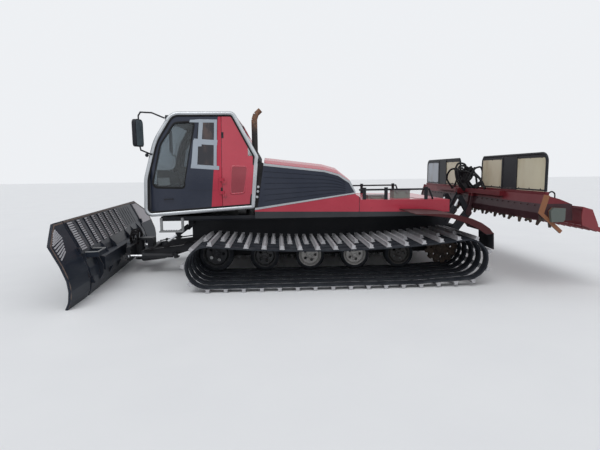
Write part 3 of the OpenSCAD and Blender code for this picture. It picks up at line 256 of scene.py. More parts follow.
TILLER_ENDS = [(2.637, ORANGE_RUST), (2.654, darker(GREY_GREEN, 0.42))]
# Past y 1.5 the snow shields' cream turns bluish grey: painted shade on the far side
FAR_SHIELDS_SHADE = ((0, 1, 0), 1.5)
PALE_WHEEL, NEXT_WHEEL = ((1, 0, 0), -0.55), ((1, 0, 0), 1.10)

door_values = dict(wear=0.15, low=0.3, high=2.2, specular=0.3)
looks = {
    "red": paint("red_paint", RED, 0.30, 0.5, 0.12, wear=0.35),
    "hood": paint("hood_red_paint", RED, 0.30, 0.5, 0.12, wear=0.15, soften=0.045),
    "sill": paint("sill_red_paint", RED, 0.32, 0.4, 0.07, wear=0.35, zones=[(*SILL_FOOT, BLACK)],
                  specular=0.3),
    "cab": paint("cab_red_paint", BLACK, 0.32, 0.45, 0.06, wear=0.3,
                 zones=[(*skin, RED) for skin in CAB_SKINS] + [(*CAB_FOOT, BLACK)]),
    # A darker red for the floor of the quarter's recess: painted shade, as no recess is cut into the skin
    "recess_shade_red": paint("recess_shade_red_paint", darker(RED, 0.58), 0.38, 0.3, 0.08, wear=0.1),
    "navy": paint("navy_paint", NAVY, 0.32, 0.12, 0.04, **door_values),
    # The hood's navy, darker, for its ribs: painted shade along each rib
    "navy_rib_shaded": paint("navy_rib_shaded_paint", darker(NAVY, 0.8), 0.40, 0.0, 0.03, wear=0.0, specular=0.25),
    "door": paint("door_paint", NAVY, 0.32, 0.12, 0.04, zones=[(*DOOR_SPLIT, RED)], **door_values),
    "fender": paint("fender_paint", (0.050, 0.007, 0.009), 0.55, 0.0, 0.06, wear=0.35, specular=0.2,
                    wear_color=(0.20, 0.09, 0.05), low=0.6, high=1.3, zones=[(*FENDER_FLAP, BLACK)]),
    # The housing's dark red and its near-black foot: partly their paint, partly painted shade
    "tiller": paint("tiller_paint", (0.120, 0.0065, 0.013), 0.46, 0.05, 0.05, wear=0.4, specular=0.25,
                    wear_color=(0.24, 0.10, 0.05), low=0.9, high=1.7,
                    zones=[(*TILLER_FOOT_DARK_AND_SHADED, (0.030, 0.0065, 0.011))]
                    + [((0, s, 0), start, shade) for start, shade in TILLER_ENDS for s in (-1, 1)]),
    "worn_edge": paint("worn_edge_paint", (0.085, 0.052, 0.042), 0.6, 0.0, 0.35, wear=0.9,
                       wear_color=(0.26, 0.15, 0.09)),
    "rung": paint("rung_paint", (0.40, 0.40, 0.43), 0.5, 0.0, 0.4, wear=0.4, dust_color=(0.60, 0.60, 0.62)),
    "blade_navy": paint("blade_navy_paint", (0.0085, 0.0135, 0.0240), 0.42, 0.1, 0.035, wear=0.6,
                        wear_color=(0.20, 0.11, 0.07), specular=0.2),
    "black": paint("black_paint", BLACK, 0.45, 0.0, 0.06, wear=0.4, specular=0.2),
    "grey": paint("grey_paint", (0.20, 0.21, 0.22), 0.5, 0.0, 0.3),
    "grey_green": paint("grey_green_paint", GREY_GREEN, 0.5, 0.0, 0.3, wear=0.4),
    # The dark wheel grey is tinted blue: painted shade over its near black
    "wheel": paint("wheel_grey_paint", (0.027, 0.030, 0.037), 0.6, 0.0, 0.12, wear=0.6,
                   zones=[(*PALE_WHEEL, (0.52, 0.51, 0.50)), (*NEXT_WHEEL, (0.034, 0.033, 0.034))]),
    "silver": bare_metal("silver_tube", SILVER, 0.32, 0.12),
    "alloy": bare_metal("track_alloy", (0.40, 0.40, 0.42), 0.5, 0.4, stain=(0.24, 0.23, 0.22),
                        brushed=(1, 0.05, 1), metal=0.35),
    "chrome": bare_metal("rod_chrome", (0.70, 0.71, 0.73), 0.16, 0.06),
    # The mirror panes' dark blue-grey is a painted reflection; being half metal they reflect only dimly
    "mirror": bare_metal("mirror_painted_reflection", (0.10, 0.13, 0.15), 0.32, 0.02, metal=0.5),
    "dark_rust": rusty("dark_rusty_steel", (0.085, 0.060, 0.045), (0.17, 0.125, 0.095), (0.03, 0.026, 0.024)),
    "exhaust": rusty("exhaust_rust", (0.17, 0.085, 0.05), (0.30, 0.17, 0.10), (0.07, 0.05, 0.04), sooty=2.62),
    # The tyres' and belts' near black is tinted blue: painted shade
    "tyre": rubber("tyre_rubber", (0.012, 0.0140, 0.0190), 0.14, SLUSH),
    "belt": rubber("belt_rubber", (0.013, 0.0155, 0.0210), 0.14, SLUSH),
    "hose": rubber("hose_rubber", (0.008, 0.008, 0.010), 0.05),
    "rubber_trim": rubber("trim_rubber", (0.008, 0.008, 0.009), 0.06),
    "glass": pane("cab_glass", (0.42, 0.47, 0.50)),
    "dark_glass": pane("far_glass", (0.13, 0.15, 0.17)),
    "tape": plastic("grey_tape", (0.29, 0.33, 0.38), 0.45, 0.15, (0.22, 0.22, 0.22)),
    "patched_pane": plastic("patched_dark_pane", (0.018, 0.018, 0.024), 0.16, 0.6, (0.11, 0.060, 0.045)),
    "mesh_panel": plastic("wing_mesh_panel", (0.38, 0.365, 0.385), 0.6, 0.25, (0.28, 0.25, 0.24), grain=90),
    "paper": plastic("creased_paper", (0.72, 0.71, 0.68), 0.75, 0.10, (0.5, 0.48, 0.44), grain=120),
    "dash": plastic("dash_plastic", (0.035, 0.035, 0.038), 0.5, 0.25, (0.25, 0.22, 0.18)),
    # The shields' cream, bluish grey past y 1.5 as painted shade
    "cream": plastic("cream_plastic", CREAM, 0.40, 0.30, (0.34, 0.25, 0.13),
                     zones=[(*FAR_SHIELDS_SHADE, (0.36, 0.40, 0.45))]),
    "mat": plastic("red_mat_plastic", (0.165, 0.011, 0.019), 0.5, 0.22, (0.20, 0.10, 0.08)),
    "lens": plastic("lamp_lens", (0.62, 0.63, 0.61), 0.18, 0.20, (0.40, 0.38, 0.34), grain=60),
    "cloth": cloth("seat_cloth", (0.035, 0.035, 0.042)),
}

NODE_LOOKS = {
    "black": ["tub", "platform", "wheel_arms", "deck_rails", "hood_hinges", "mirrors", "push_frame",
              "swivel_head", "lift_barrels", "angle_barrel_left", "angle_barrel_right", "rear_bracket",
              "tiller_frame", "top_link", "shield_frames", "tiller_barrels"],
    "chrome": ["lift_rods", "angle_rod_left", "angle_rod_right", "tiller_rods"],
    "blade_navy": ["blade", "wing_left", "wing_right"], "belt": ["track_left", "track_right"],
    "grey": ["engine_block", "steps"], "grey_green": ["deck_boxes"], "tyre": ["tyres"], "wheel": ["rims"],
    "dark_rust": ["sprockets", "tiller_rotor"], "sill": ["side_sills"], "red": ["load_deck"],
    "fender": ["fenders"], "cab": ["cab_shell"], "silver": ["cab_frames", "hood_trims"],
    "glass": ["windscreen", "door_glass_left"], "dark_glass": ["rear_glass", "door_glass_right"],
    "cloth": ["seats"], "dash": ["dashboard"], "door": ["door_left", "door_right"], "navy": ["hood_sides"],
    "hood": ["hood_cover"], "exhaust": ["exhaust"], "lens": ["lamps"], "tiller": ["tiller_housing"],
    "cream": ["snow_shields"], "mat": ["finisher"], "hose": ["hoses"],
}
for look, names in NODE_LOOKS.items():
    for name in names:
        nodes[name].data.materials.clear()
        nodes[name].data.materials.append(looks[look])

# Material slot names by look, which piece() looks up for a new piece
SLOTS = {
    "silver": "silver_tube", "rubber_trim": "hose_rubber", "hose": "hose_rubber", "red": "red_paint",
    "recess_shade_red": "red_paint", "sill": "red_paint", "tiller": "dark_red_paint", "black": "black_paint",
    "door": "navy_paint", "navy_rib_shaded": "navy_paint", "blade_navy": "navy_paint", "worn_edge": "navy_paint",
    "tape": "grey_paint", "paper": "grey_paint", "grey": "grey_paint", "patched_pane": "dash_plastic",
    "dash": "dash_plastic", "cloth": "seat_fabric", "wheel": "wheel_grey", "rung": "light_alloy",
    "mesh_panel": "light_alloy", "alloy": "light_alloy", "chrome": "light_alloy", "belt": "belt_rubber",
    "mirror": "lamp_glass",
}


# Meshes

HERE = Matrix.Identity(4)
SHARP_ANGLE = radians(35)


def skin(rows, n, closed=False, flip=1):
    """Faces between rows of n points each, and from the last row to the first where closed.

    A flip of -1 turns them over.
    """
    faces = []
    for i in range(rows if closed else rows - 1):
        a, b = i * n, (i + 1) % rows * n
        for k in range(n):
            j = (k + 1) % n
            faces.append([a + k, a + j, b + j, b + k][::flip])
    return faces


def ends(rows, n, flip=1):
    """The faces that close the first and the last row, turned over by a flip of -1."""
    return [list(range(n))[::-flip], list(range((rows - 1) * n, rows * n))[::flip]]


def circle(sides):
    return [(cos(2 * pi * k / sides), sin(2 * pi * k / sides)) for k in range(sides)]


class Shape:
    """Vertices and faces of a piece that is made of many small closed forms."""

    def __init__(self):
        self.points = []
        self.faces = []

    def add(self, points, faces, place=HERE):
        start = len(self.points)
        self.points += [place @ Vector(p) for p in points]
        self.faces += [[start + i for i in face] for face in faces]

    def prism(self, outline, low, high, place=HERE):
        """An outline in x and z, drawn out along y from low to high."""
        n = len(outline)
        self.add([(x, y, z) for y in (low, high) for x, z in outline], skin(2, n) + ends(2, n), place)

    def box(self, low, high, place=HERE, bevel=0.0):
        (x0, y0, z0), (x1, y1, z1) = low, high
        b = bevel
        outline = [(x0, z0), (x1, z0), (x1, z1), (x0, z1)]
        if b:
            outline = [(x0 + b, z0), (x1 - b, z0), (x1, z0 + b), (x1, z1 - b), (x1 - b, z1),
                       (x0 + b, z1), (x0, z1 - b), (x0, z0 + b)]
        self.prism(outline, y0, y1, place)

    def lathe(self, profile, sides, place=HERE):
        """A profile of (radius, height) turned about z, closed where the radius is 0."""
        points, rows, faces = [], [], []
        for r, z in profile:
            if r == 0:
                rows.append([len(points)] * sides)
                points.append((0, 0, z))
            else:
                rows.append(list(range(len(points), len(points) + sides)))
                points += [(r * u, r * v, z) for u, v in circle(sides)]
        for a, b in zip(rows, rows[1:]):
            for k in range(sides):
                j = (k + 1) % sides
                ring = [a[k], a[j], b[j], b[k]]
                faces.append([v for i, v in enumerate(ring) if v not in ring[:i]])
        self.add(points, [f for f in faces if len(f) > 2], place)

    def bolt(self, height, tip, foot, sides, place, drop=0.001):
        """The head of a bolt or screw, from the radius tip to the radius foot."""
        self.lathe([(0, height), (tip, height - drop), (foot, 0.0)], sides, place)

    def tube(self, path, radius, sides=10):
        """A round tube along a path, with flat ends."""
        path = [Vector(p) for p in path]
        n = len(path)
        side = None
        points = []
        for i, p in enumerate(path):
            along = (path[min(i + 1, n - 1)] - path[max(i - 1, 0)]).normalized()
            if side is None:
                side = along.orthogonal().normalized()
            side = (side - along * side.dot(along)).normalized()
            up = along.cross(side)
            points += [p + radius * (side * u + up * v) for u, v in circle(sides)]
        self.add(points, skin(n, sides) + ends(n, sides))

    def flipped(self):
        self.faces = [face[::-1] for face in self.faces]
        return self

    def on_side(self, side):
        """The left side's shape, or its mirror image on the right side."""
        if side > 0:
            self.points = [Vector((p.x, -p.y, p.z)) for p in self.points]
            self.flipped()
        return self

    def piece(self, name, look, body="carrier", slot=None, replaces=(), bevel=0.0, smooth=False,
              mirrored=False):
        """Makes the object, which rides on a body. Mirrored adds its twin on the right side."""
        points, faces = list(self.points), list(self.faces)
        if mirrored:
            n = len(points)
            points += [Vector((p.x, -p.y, p.z)) for p in self.points]
            faces += [[n + i for i in reversed(face)] for face in self.faces]
        mesh = bpy.data.meshes.new(name)
        mesh.from_pydata(points, [], faces)
        mesh.validate()
        mesh.materials.append(looks[look])
        o = bpy.data.objects.new(name, mesh)
        bpy.context.scene.collection.objects.link(o)
        if smooth:
            for face in mesh.polygons:
                face.use_smooth = True
            mesh.set_sharp_from_angle(angle=SHARP_ANGLE)
        if bevel:
            modifier = o.modifiers.new("edges", "BEVEL")
            modifier.width = bevel
            modifier.segments = 2
            modifier.limit_method = "ANGLE"
        slot = slot or SLOTS[look]
        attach(o, body)
        if replaces:
            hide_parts(*replaces)
        return o


def axes(origin, x, y, z):
    """The placement whose axes are x, y and z."""
    m = Matrix((x, y, z)).transposed().to_4x4()
    m.translation = origin
    return m


def toward(origin, z):
    """The placement whose z axis points along z."""
    m = Vector(z).to_track_quat("Z", "Y").to_matrix().to_4x4()
    m.translation = origin
    return m


def leftward(x, y, z):
    """The placement whose z axis points to the machine's left side."""
    return toward((x, y, z), (0, -1, 0))


def curve_through(points, steps=8):
    """A smooth line through the points."""
    points = [Vector(p) for p in points]
    line = []
    for i in range(len(points) - 1):
        p0, p1 = points[max(i - 1, 0)], points[i]
        p2, p3 = points[i + 1], points[min(i + 2, len(points) - 1)]
        for k in range(steps):
            t = k / steps
            line.append(0.5 * ((2 * p1) + (p2 - p0) * t + (2 * p0 - 5 * p1 + 4 * p2 - p3) * t * t
                               + (3 * p1 - p0 - 3 * p2 + p3) * t ** 3))
    return line + [points[-1]]


def height_on(line, x):
    """The second coordinate of a line of points where the first is x."""
    for (x0, z0), (x1, z1) in zip(line, line[1:]):
        if x <= x1 or (x1, z1) == line[-1]:
            return z0 + (z1 - z0) * (x - x0) / (x1 - x0)


# The tracks: the same loop as in the CAD model, in metres

BELT = 0.028
BAR = 0.062
BELT_LOW = BAR + BELT
SAG = 0.108
IDLER_X, IDLER_R = -1.790, 0.310
IDLER_Z = BELT_LOW + IDLER_R
DRIVE_X, DRIVE_Z, DRIVE_R = 2.300, 0.440, 0.300
WHEEL_X, WHEEL_PITCH = -0.930, 0.810
LAST_WHEEL_X = WHEEL_X + 3 * WHEEL_PITCH
BAR_PITCH = 0.139
LONG_END, SHORT_END, INNER_END = 2.100, 1.540, 0.700

RISE = asin((DRIVE_Z - DRIVE_R - BELT_LOW) / (DRIVE_X - LAST_WHEEL_X))
TOP = atan(4 * SAG / (DRIVE_X - IDLER_X))
RUN_START = Vector((DRIVE_X - DRIVE_R * sin(TOP), DRIVE_Z + DRIVE_R * cos(TOP)))
RUN_END = Vector((IDLER_X + IDLER_R * sin(TOP), IDLER_Z + IDLER_R * cos(TOP)))
RISE_START = Vector((LAST_WHEEL_X, BELT_LOW))
RISE_END = Vector((DRIVE_X + DRIVE_R * sin(RISE), DRIVE_Z - DRIVE_R * cos(RISE)))
LENGTHS = [
    LAST_WHEEL_X - IDLER_X,
    (RISE_END - RISE_START).length,
    (DRIVE_R + BELT) * (pi + TOP - RISE),
    (RUN_END - RUN_START).length + 8 * SAG * SAG / 3 / (RUN_END - RUN_START).length,
    (IDLER_R + BELT) * (pi + TOP),
]
LOOP = sum(LENGTHS)
BARS = 2 * round(LOOP / BAR_PITCH / 2)
STEP = LOOP / BARS


def round_wheel(x, z, radius, angle):
    """Point on the belt's inner face round a wheel, and the outward normal there."""
    n = Vector((cos(angle), sin(angle)))
    return Vector((x, z)) + n * radius, n


def on_loop(s):
    """Point on the belt's inner face and the outward normal there, in x and z."""
    s %= LOOP
    part = 0
    while part < 4 and s > LENGTHS[part]:
        s -= LENGTHS[part]
        part += 1
    t = s / LENGTHS[part]
    if part == 0:
        return Vector((IDLER_X + s, BELT_LOW)), Vector((0, -1))
    if part == 1:
        u = (RISE_END - RISE_START).normalized()
        return RISE_START + u * s, Vector((u.y, -u.x))
    if part == 2:
        return round_wheel(DRIVE_X, DRIVE_Z, DRIVE_R, RISE - pi / 2 + (pi + TOP - RISE) * t)
    if part == 3:
        p = RUN_START + (RUN_END - RUN_START) * t - Vector((0, 4 * SAG * t * (1 - t)))
        g = ((RUN_END - RUN_START) - Vector((0, 4 * SAG * (1 - 2 * t)))).normalized()
        return p, Vector((g.y, -g.x))
    return round_wheel(IDLER_X, IDLER_Z, IDLER_R, pi / 2 - TOP + (pi + TOP) * t)


def loop_place(s, y):
    """Placement on the belt's outer face: x along the run, z outwards."""
    p, n = on_loop(s)
    p = p + n * BELT
    return axes(Vector((p.x, y, p.y)), Vector((-n.y, 0, n.x)), Vector((0, 1, 0)), Vector((n.x, 0, n.y)))


BELTS = [(2.085, 1.930), (1.810, 1.655), (1.535, 1.380), (1.260, 1.105), (1.005, 0.895), (0.825, 0.715)]
BAR_DRAWN = [(0.0, 0.026), (0.012, 0.044), (0.05, 0.058), (0.10, BAR)]
BAR_BOLT = [(0, 0.013), (0.0075, 0.013), (0.0085, 0.006), (0.0085, 0.005)]


def track_belts(name, side):
    shape = Shape()
    steps = 2 * BARS
    for outer, inner in BELTS:
        section = [(-outer, 0.002), (-outer + 0.004, 0.0), (-inner - 0.004, 0.0), (-inner, 0.002),
                   (-inner, BELT - 0.004), (-inner - 0.006, BELT), (-outer + 0.006, BELT),
                   (-outer, BELT - 0.004)]
        points = []
        for i in range(steps):
            p, out = on_loop(i * STEP / 2)
            points += [(p.x + out.x * d, y * -side, p.y + out.y * d) for y, d in section]
        shape.add(points, skin(steps, len(section), closed=True, flip=side))
    shape.piece(name + "_belts", "belt", replaces=(name,), smooth=True)


def bar_section(height):
    """A bar's section of that height, from one side of its foot over the crest to the other."""
    half = [(0.040, 0.0), (0.040, 0.008), (0.029, 0.014), (0.0225, 0.022), (0.0195, height - 0.012),
            (0.0180, height - 0.003), (0.0150, height)]
    return [(-w, h) for w, h in half] + [(w, h) for w, h in reversed(half)]


def track_bars(name, side):
    """Cross bars with a foot, a web and a crest, drawn down at both ends, and their bolts."""
    bars, bolts = Shape(), Shape()
    for i in range(BARS):
        outer = LONG_END if i % 2 == 0 else SHORT_END
        stations = [(INNER_END + d, height) for d, height in BAR_DRAWN]
        stations += [(outer - d, height) for d, height in reversed(BAR_DRAWN)]
        place = loop_place(i * STEP, 0)
        points = [(x, y * side, z) for y, height in stations for x, z in bar_section(height)]
        rows, n = len(stations), len(points) // len(stations)
        bars.add(points, skin(rows, n, flip=side) + ends(rows, n, -side), place)
        for low, high in ((outer - 0.014, outer - 0.001), (INNER_END + 0.001, INNER_END + 0.012)):
            near, far = sorted((low * side, high * side))
            bars.box((-0.027, near, 0.003), (0.027, far, 0.057), place)
        for belt_outer, belt_inner in BELTS:
            if belt_outer > outer:
                continue
            for y in (belt_outer - 0.03, belt_inner + 0.03):
                for x in (-0.021, 0.021):
                    bolts.lathe(BAR_BOLT, 6, place @ Matrix.Translation((x, y * side, 0)))
    bars.piece(name + "_bars", "alloy", smooth=True)
    bolts.piece(name + "_bolts", "chrome")


for name, side in (("track_left", -1), ("track_right", 1)):
    track_belts(name, side)
    track_bars(name, side)


# Outlines shared with the CAD model, in metres

BODY_HALF = 1.150
FRAME_PROUD = 0.012
SKIN_LOW, SKIN_MIDDLE, SKIN_HIGH, SKIN_SLOPE = 1.684, 1.750, 1.816, 0.1476
CAB_ROWS = [(-2.952, 1.106, 0.130), (-1.085, 1.226, 0.040), (-1.008, 2.120, 0.090), (-1.412, 2.880, 0.130),
            (-2.478, 2.880, 0.230), (-2.770, 2.400, 0.900), (-2.925, 1.760, 0.700)]
PANE_FRONT = [(-2.812, 1.600, 0.09), (-2.262, 1.585, 0.06), (-2.068, 2.720, 0.07), (-2.420, 2.700, 0.11),
              (-2.660, 2.330, 0.30)]
PANE_REAR = [(-2.186, 1.585, 0.04), (-1.716, 1.575, 0.05), (-1.700, 2.720, 0.06), (-1.990, 2.720, 0.05)]


def corners_of(rows):
    """Each corner with the one before it, the one after it and its radius."""
    n = len(rows)
    for i in range(n):
        yield *(Vector(rows[k % n][:2]) for k in (i - 1, i, i + 1)), rows[i][2]


def rounded(rows, steps=6):
    """An outline from corners (x, z, radius), given anticlockwise."""
    line = []
    for a, b, c, r in corners_of(rows):
        u, v = (a - b).normalized(), (c - b).normalized()
        half = u.angle(v) / 2
        middle = b + (u + v).normalized() * (r / sin(half))
        start, end = b + u * (r / tan(half)) - middle, b + v * (r / tan(half)) - middle
        angle = atan2(start.y, start.x)
        turn = (atan2(end.y, end.x) - angle + 3 * pi) % (2 * pi) - pi
        line += [middle + r * Vector((cos(angle + turn * k / steps), sin(angle + turn * k / steps)))
                 for k in range(steps + 1)]
    return line


def inset(rows, t):
    """The same corners, moved inwards by t."""
    moved = []
    for a, b, c, r in corners_of(rows):
        n1, n2 = (b - a).normalized().orthogonal(), (c - b).normalized().orthogonal()
        q = b + t * (n1 + n2) / (1 + n1.dot(n2))
        moved.append((q.x, q.y, max(r - t, 0.002)))
    return moved


def side_y(z):
    """Half the width of the body's and the cab's skin at a height."""
    if z < SKIN_LOW:
        return BODY_HALF
    if z < SKIN_HIGH:
        return BODY_HALF - SKIN_SLOPE * (z - SKIN_LOW) ** 2 / (2 * (SKIN_HIGH - SKIN_LOW))
    return BODY_HALF - SKIN_SLOPE * (z - SKIN_MIDDLE)


def bead(shape, outline, half_width, rise, proud=0.0, sink=0.004, steps=6):
    """A rounded bead along a closed outline on the left side of the cab."""
    n = len(outline)
    arch = [(pi * k / steps) for k in range(steps + 1)]
    section = [(half_width, -sink)]
    section += [(half_width * cos(a), rise * sin(a)) for a in arch]
    section.append((-half_width, -sink))
    points = []
    for i, p in enumerate(outline):
        ahead = (outline[(i + 1) % n] - outline[i - 1]).normalized()
        for along, out in section:
            q = p + Vector((ahead.y, -ahead.x)) * along
            points.append((q.x, -side_y(q.y) - proud - out, q.y))
    shape.add(points, skin(n, len(section), closed=True))


BENDS = (-9, SKIN_LOW, 1.717, SKIN_MIDDLE, 1.783, SKIN_HIGH, 9)


def band(outline, low, high):
    """The part of an outline between two heights."""
    for limit, keep in ((low, 1), (high, -1)):
        kept = []
        for i, q in enumerate(outline):
            p = outline[i - 1]
            inside, was_inside = ((r[1] - limit) * keep >= 0 for r in (q, p))
            if inside != was_inside:
                kept.append((p[0] + (q[0] - p[0]) * (limit - p[1]) / (q[1] - p[1]), limit))
            if inside:
                kept.append(tuple(q))
        outline = kept
    return outline


def plate(shape, outline, out_low, out_high):
    """A thin plate on the skin, over an outline in x and z, between two heights above the skin."""
    for low, high in zip(BENDS, BENDS[1:]):
        part = band(outline, low, high)
        n = len(part)
        if n > 2:
            shape.add([(x, -(side_y(z) + out), z) for out in (out_low, out_high) for x, z in part],
                      skin(2, n, flip=-1) + ends(2, n, -1))


# The cab's silver tube, its black gasket and the rear quarter

RECESS = [(-1.489, 1.479, 0.03), (-1.259, 1.492, 0.03), (-1.188, 1.942, 0.04), (-1.458, 1.953, 0.04)]
STRIP = [(-1.088, 1.200), (-1.024, 1.200), (-0.912, 1.992), (-1.000, 2.050)]
LATCHES = [(-1.013, 1.592), (-1.022, 1.515), (-1.036, 1.421)]
LATCH = [(0, 0.030), (0.018, 0.030), (0.024, 0.024), (0.024, 0.006), (0.014, 0.0)]

tube_bead, gasket, rim, floor, strip, knobs = (Shape() for k in range(6))
bead(tube_bead, rounded(inset(CAB_ROWS, 0.027), 10), 0.031, 0.018, FRAME_PROUD)
tube_bead.piece("cab_tube_bead", "silver", smooth=True, mirrored=True)
bead(gasket, rounded(inset(CAB_ROWS, 0.069), 10), 0.015, 0.006, FRAME_PROUD - 0.006, 0.014)
gasket.piece("cab_gasket", "rubber_trim", smooth=True, mirrored=True)
bead(rim, rounded(RECESS), 0.014, 0.010)
rim.piece("quarter_recess_rim", "red", smooth=True, mirrored=True)
# The recess's floor is a plate on the skin in the darker red: the recess's shade is painted
plate(floor, rounded(inset(RECESS, 0.008)), -0.002, 0.004)
floor.piece("quarter_recess_floor", "recess_shade_red", mirrored=True)
strip.prism(STRIP, -1.143, -1.100)
strip.piece("cab_hood_strip", "rubber_trim", bevel=0.004, mirrored=True)
for x, z in LATCHES:
    knobs.lathe(LATCH, 14, leftward(x, -1.140, z))
knobs.piece("strip_latches", "silver", smooth=True, mirrored=True)


# Doors: window rubbers, lower panel, straps and the taped rear window of the left door

DOOR_PANEL = [(-2.196, 1.555, 0.02), (-1.690, 1.550, 0.02), (-1.690, 1.940, 0.02), (-2.135, 1.945, 0.02)]
HINGES = [(-1.606, 2.480), (-1.634, 1.542)]
HANDLE = [(-2.60, -1.158, 1.40), (-2.595, -1.192, 1.405), (-2.53, -1.196, 1.408), (-2.465, -1.192, 1.410),
          (-2.46, -1.158, 1.410)]
PATCHED = [(-2.120, 1.960, 0.01), (-1.720, 1.945, 0.01), (-1.712, 2.705, 0.05), (-1.985, 2.705, 0.05)]
TAPES = [
    [(-2.160, 2.700), (-1.700, 2.690), (-1.700, 2.745), (-1.985, 2.752), (-2.150, 2.742)],
    [(-2.030, 2.290), (-1.962, 2.290), (-1.930, 2.735), (-1.998, 2.735)],
    [(-2.090, 2.335), (-1.700, 2.305), (-1.690, 2.395), (-2.090, 2.425)],
    [(-2.150, 1.925), (-1.672, 1.890), (-1.668, 1.955), (-2.140, 1.990)],
    [(-1.764, 1.930), (-1.712, 1.930), (-1.694, 2.735), (-1.744, 2.735)],
    [(-2.142, 1.940), (-2.040, 1.940), (-2.014, 2.400), (-2.100, 2.400)],
]
TORN = 0.005
TAPE_OUT, TAPE_STEP, TAPE_THICK = 0.0062, 0.0006, 0.0012


def dress_door(name, body, side):
    rubbers, panel, straps, handle = (Shape() for k in range(4))
    for outline in (PANE_FRONT, PANE_REAR):
        bead(rubbers, rounded(inset(outline, 0.006), 8), 0.016, 0.006)
    plate(panel, rounded(DOOR_PANEL), -0.004, 0.0060)
    for x, z in HINGES:
        corners = [(x + u * 0.016, z + v * 0.05, 0.006) for u, v in ((-1, -1), (1, -1), (1, 1), (-1, 1))]
        plate(straps, rounded(corners, 3), -0.001, 0.008)
        for rise in (0.022, -0.022):
            straps.bolt(0.005, 0.008, 0.010, 6, leftward(x, -side_y(z) - 0.008, z + rise), drop=0)
    handle.tube(curve_through(HANDLE, 5), 0.009)
    rubbers.on_side(side).piece(name + "_window_rubbers", "rubber_trim", body, smooth=True)
    panel.on_side(side).piece(name + "_lower_panel", "door", body)
    straps.on_side(side).piece(name + "_hinge_straps", "black", body, bevel=0.0015)
    handle.on_side(side).piece(name + "_handle", "black", body, smooth=True)


def tape_window(name, body):
    tape, patched = Shape(), Shape()
    for i, outline in enumerate(TAPES):
        torn = []
        for k, p in enumerate(outline):
            q = outline[(k + 1) % len(outline)]
            for t in (0.0, 0.25, 0.5, 0.75):
                jitter = TORN * (random.random() - 0.5) if t else 0.0
                torn.append((p[0] + (q[0] - p[0]) * t + jitter, p[1] + (q[1] - p[1]) * t + jitter))
        out = TAPE_OUT + TAPE_STEP * i
        plate(tape, torn, out, out + TAPE_THICK)
    tape.piece(name + "_tape", "tape", body)
    plate(patched, rounded(PATCHED, 4), 0.0020, 0.0035)
    patched.piece(name + "_patched_pane", "patched_pane", body)


dress_door("door_left", "door_left_body", -1)
tape_window("door_left", "door_left_body")
dress_door("door_right", "door_right_body", 1)


# Inside the cab: upholstery, steering levers and the console

PINCH, CORNER_SOFT, PAD_GRID = 0.0105, 0.10, 14


def pillow(shape, low, high, crown, place):
    """A crowned closed pad between two corners, its sides pulled in between the corners."""
    grid = PAD_GRID
    size = Vector(high) - Vector(low)
    middle = (Vector(high) + Vector(low)) / 2
    points, index = [], {}

    def vertex(a, b, c):
        key = (a, b, c)
        if key not in index:
            u, v, w = (2 * k / grid - 1 for k in key)
            bulge = (1 - u * u) ** 0.5 * (1 - v * v) ** 0.5 if abs(w) == 1 else 0
            soft = 1 - PINCH * ((1 - u * u) + (1 - v * v))
            round_off = 1 - CORNER_SOFT * max(0, abs(u) + abs(v) + abs(w) - 2)
            index[key] = len(points)
            points.append((middle.x + size.x / 2 * u * soft * round_off,
                           middle.y + size.y / 2 * v * soft * round_off,
                           middle.z + size.z / 2 * w * round_off + (crown * bulge if w > 0 else 0)))
        return index[key]

    faces = []
    for axis in range(3):
        for end in (0, grid):
            for i in range(grid):
                for j in range(grid):
                    corners = []
                    for a, b in ((i, j), (i + 1, j), (i + 1, j + 1), (i, j + 1)):
                        key = [a, b]
                        key.insert(axis, end)
                        corners.append(vertex(*key))
                    turned = (end == grid) == (axis != 1)
                    faces.append(corners if turned else corners[::-1])
    shape.add(points, faces, place)


def upright(x, y, z, lean):
    """The placement of a pad whose top faces forwards, leaning back by lean."""
    up = Vector((sin(lean), 0, cos(lean)))
    ahead = Vector((-cos(lean), 0, sin(lean)))
    return axes(Vector((x, y, z)), up, up.cross(ahead), ahead)


LEAN = 0.17
PADS = [("base", (-0.24, -0.23, -0.05), (0.24, 0.23, 0.055), 0.022,
         lambda y: Matrix.Translation((-1.93, y, 1.545))),
        ("back", (-0.29, -0.22, -0.06), (0.29, 0.22, 0.045), 0.020, lambda y: upright(-1.615, y, 1.91, LEAN)),
        ("head", (-0.085, -0.115, -0.04), (0.085, 0.115, 0.03), 0.010,
         lambda y: upright(-1.560, y, 2.318, LEAN))]
PEDESTAL = [(-2.08, 1.190), (-1.76, 1.210), (-1.78, 1.490), (-2.06, 1.490)]
KICK = [(-2.30, 1.22), (-1.76, 1.24), (-1.76, 1.76), (-2.22, 1.80), (-2.32, 1.72)]
CONSOLES = [
    ([(-2.64, 1.24), (-2.00, 1.24), (-1.98, 1.62), (-2.14, 1.72), (-2.34, 1.93), (-2.58, 1.99),
      (-2.66, 1.92)], -0.20, 0.20),
    (KICK, -0.90, -0.80),
    (KICK, 0.80, 0.96),
    ([(-2.84, 1.30), (-2.40, 1.30), (-2.38, 1.62), (-2.46, 1.80), (-2.62, 1.90), (-2.82, 1.90)], -0.74, 0.84),
    ([(-2.82, 1.28), (-2.24, 1.28), (-2.24, 1.60), (-2.50, 1.64), (-2.82, 1.66)], -1.03, -0.72),
    ([(-2.36, 2.790), (-2.34, 2.700), (-1.50, 2.690), (-1.50, 2.790)], -0.86, 0.86),
]

for side, y in (("left", -0.52), ("right", 0.52)):
    for part, low, high, crown, place in PADS:
        pad = Shape()
        pillow(pad, low, high, crown, place(y))
        o = pad.piece("seat_%s_%s" % (side, part), "cloth", smooth=True, replaces=("seats",))
    pedestal = Shape()
    pedestal.prism(PEDESTAL, y - 0.17, y + 0.17)
    pedestal.piece("seat_%s_pedestal" % side, "dash", bevel=0.012)

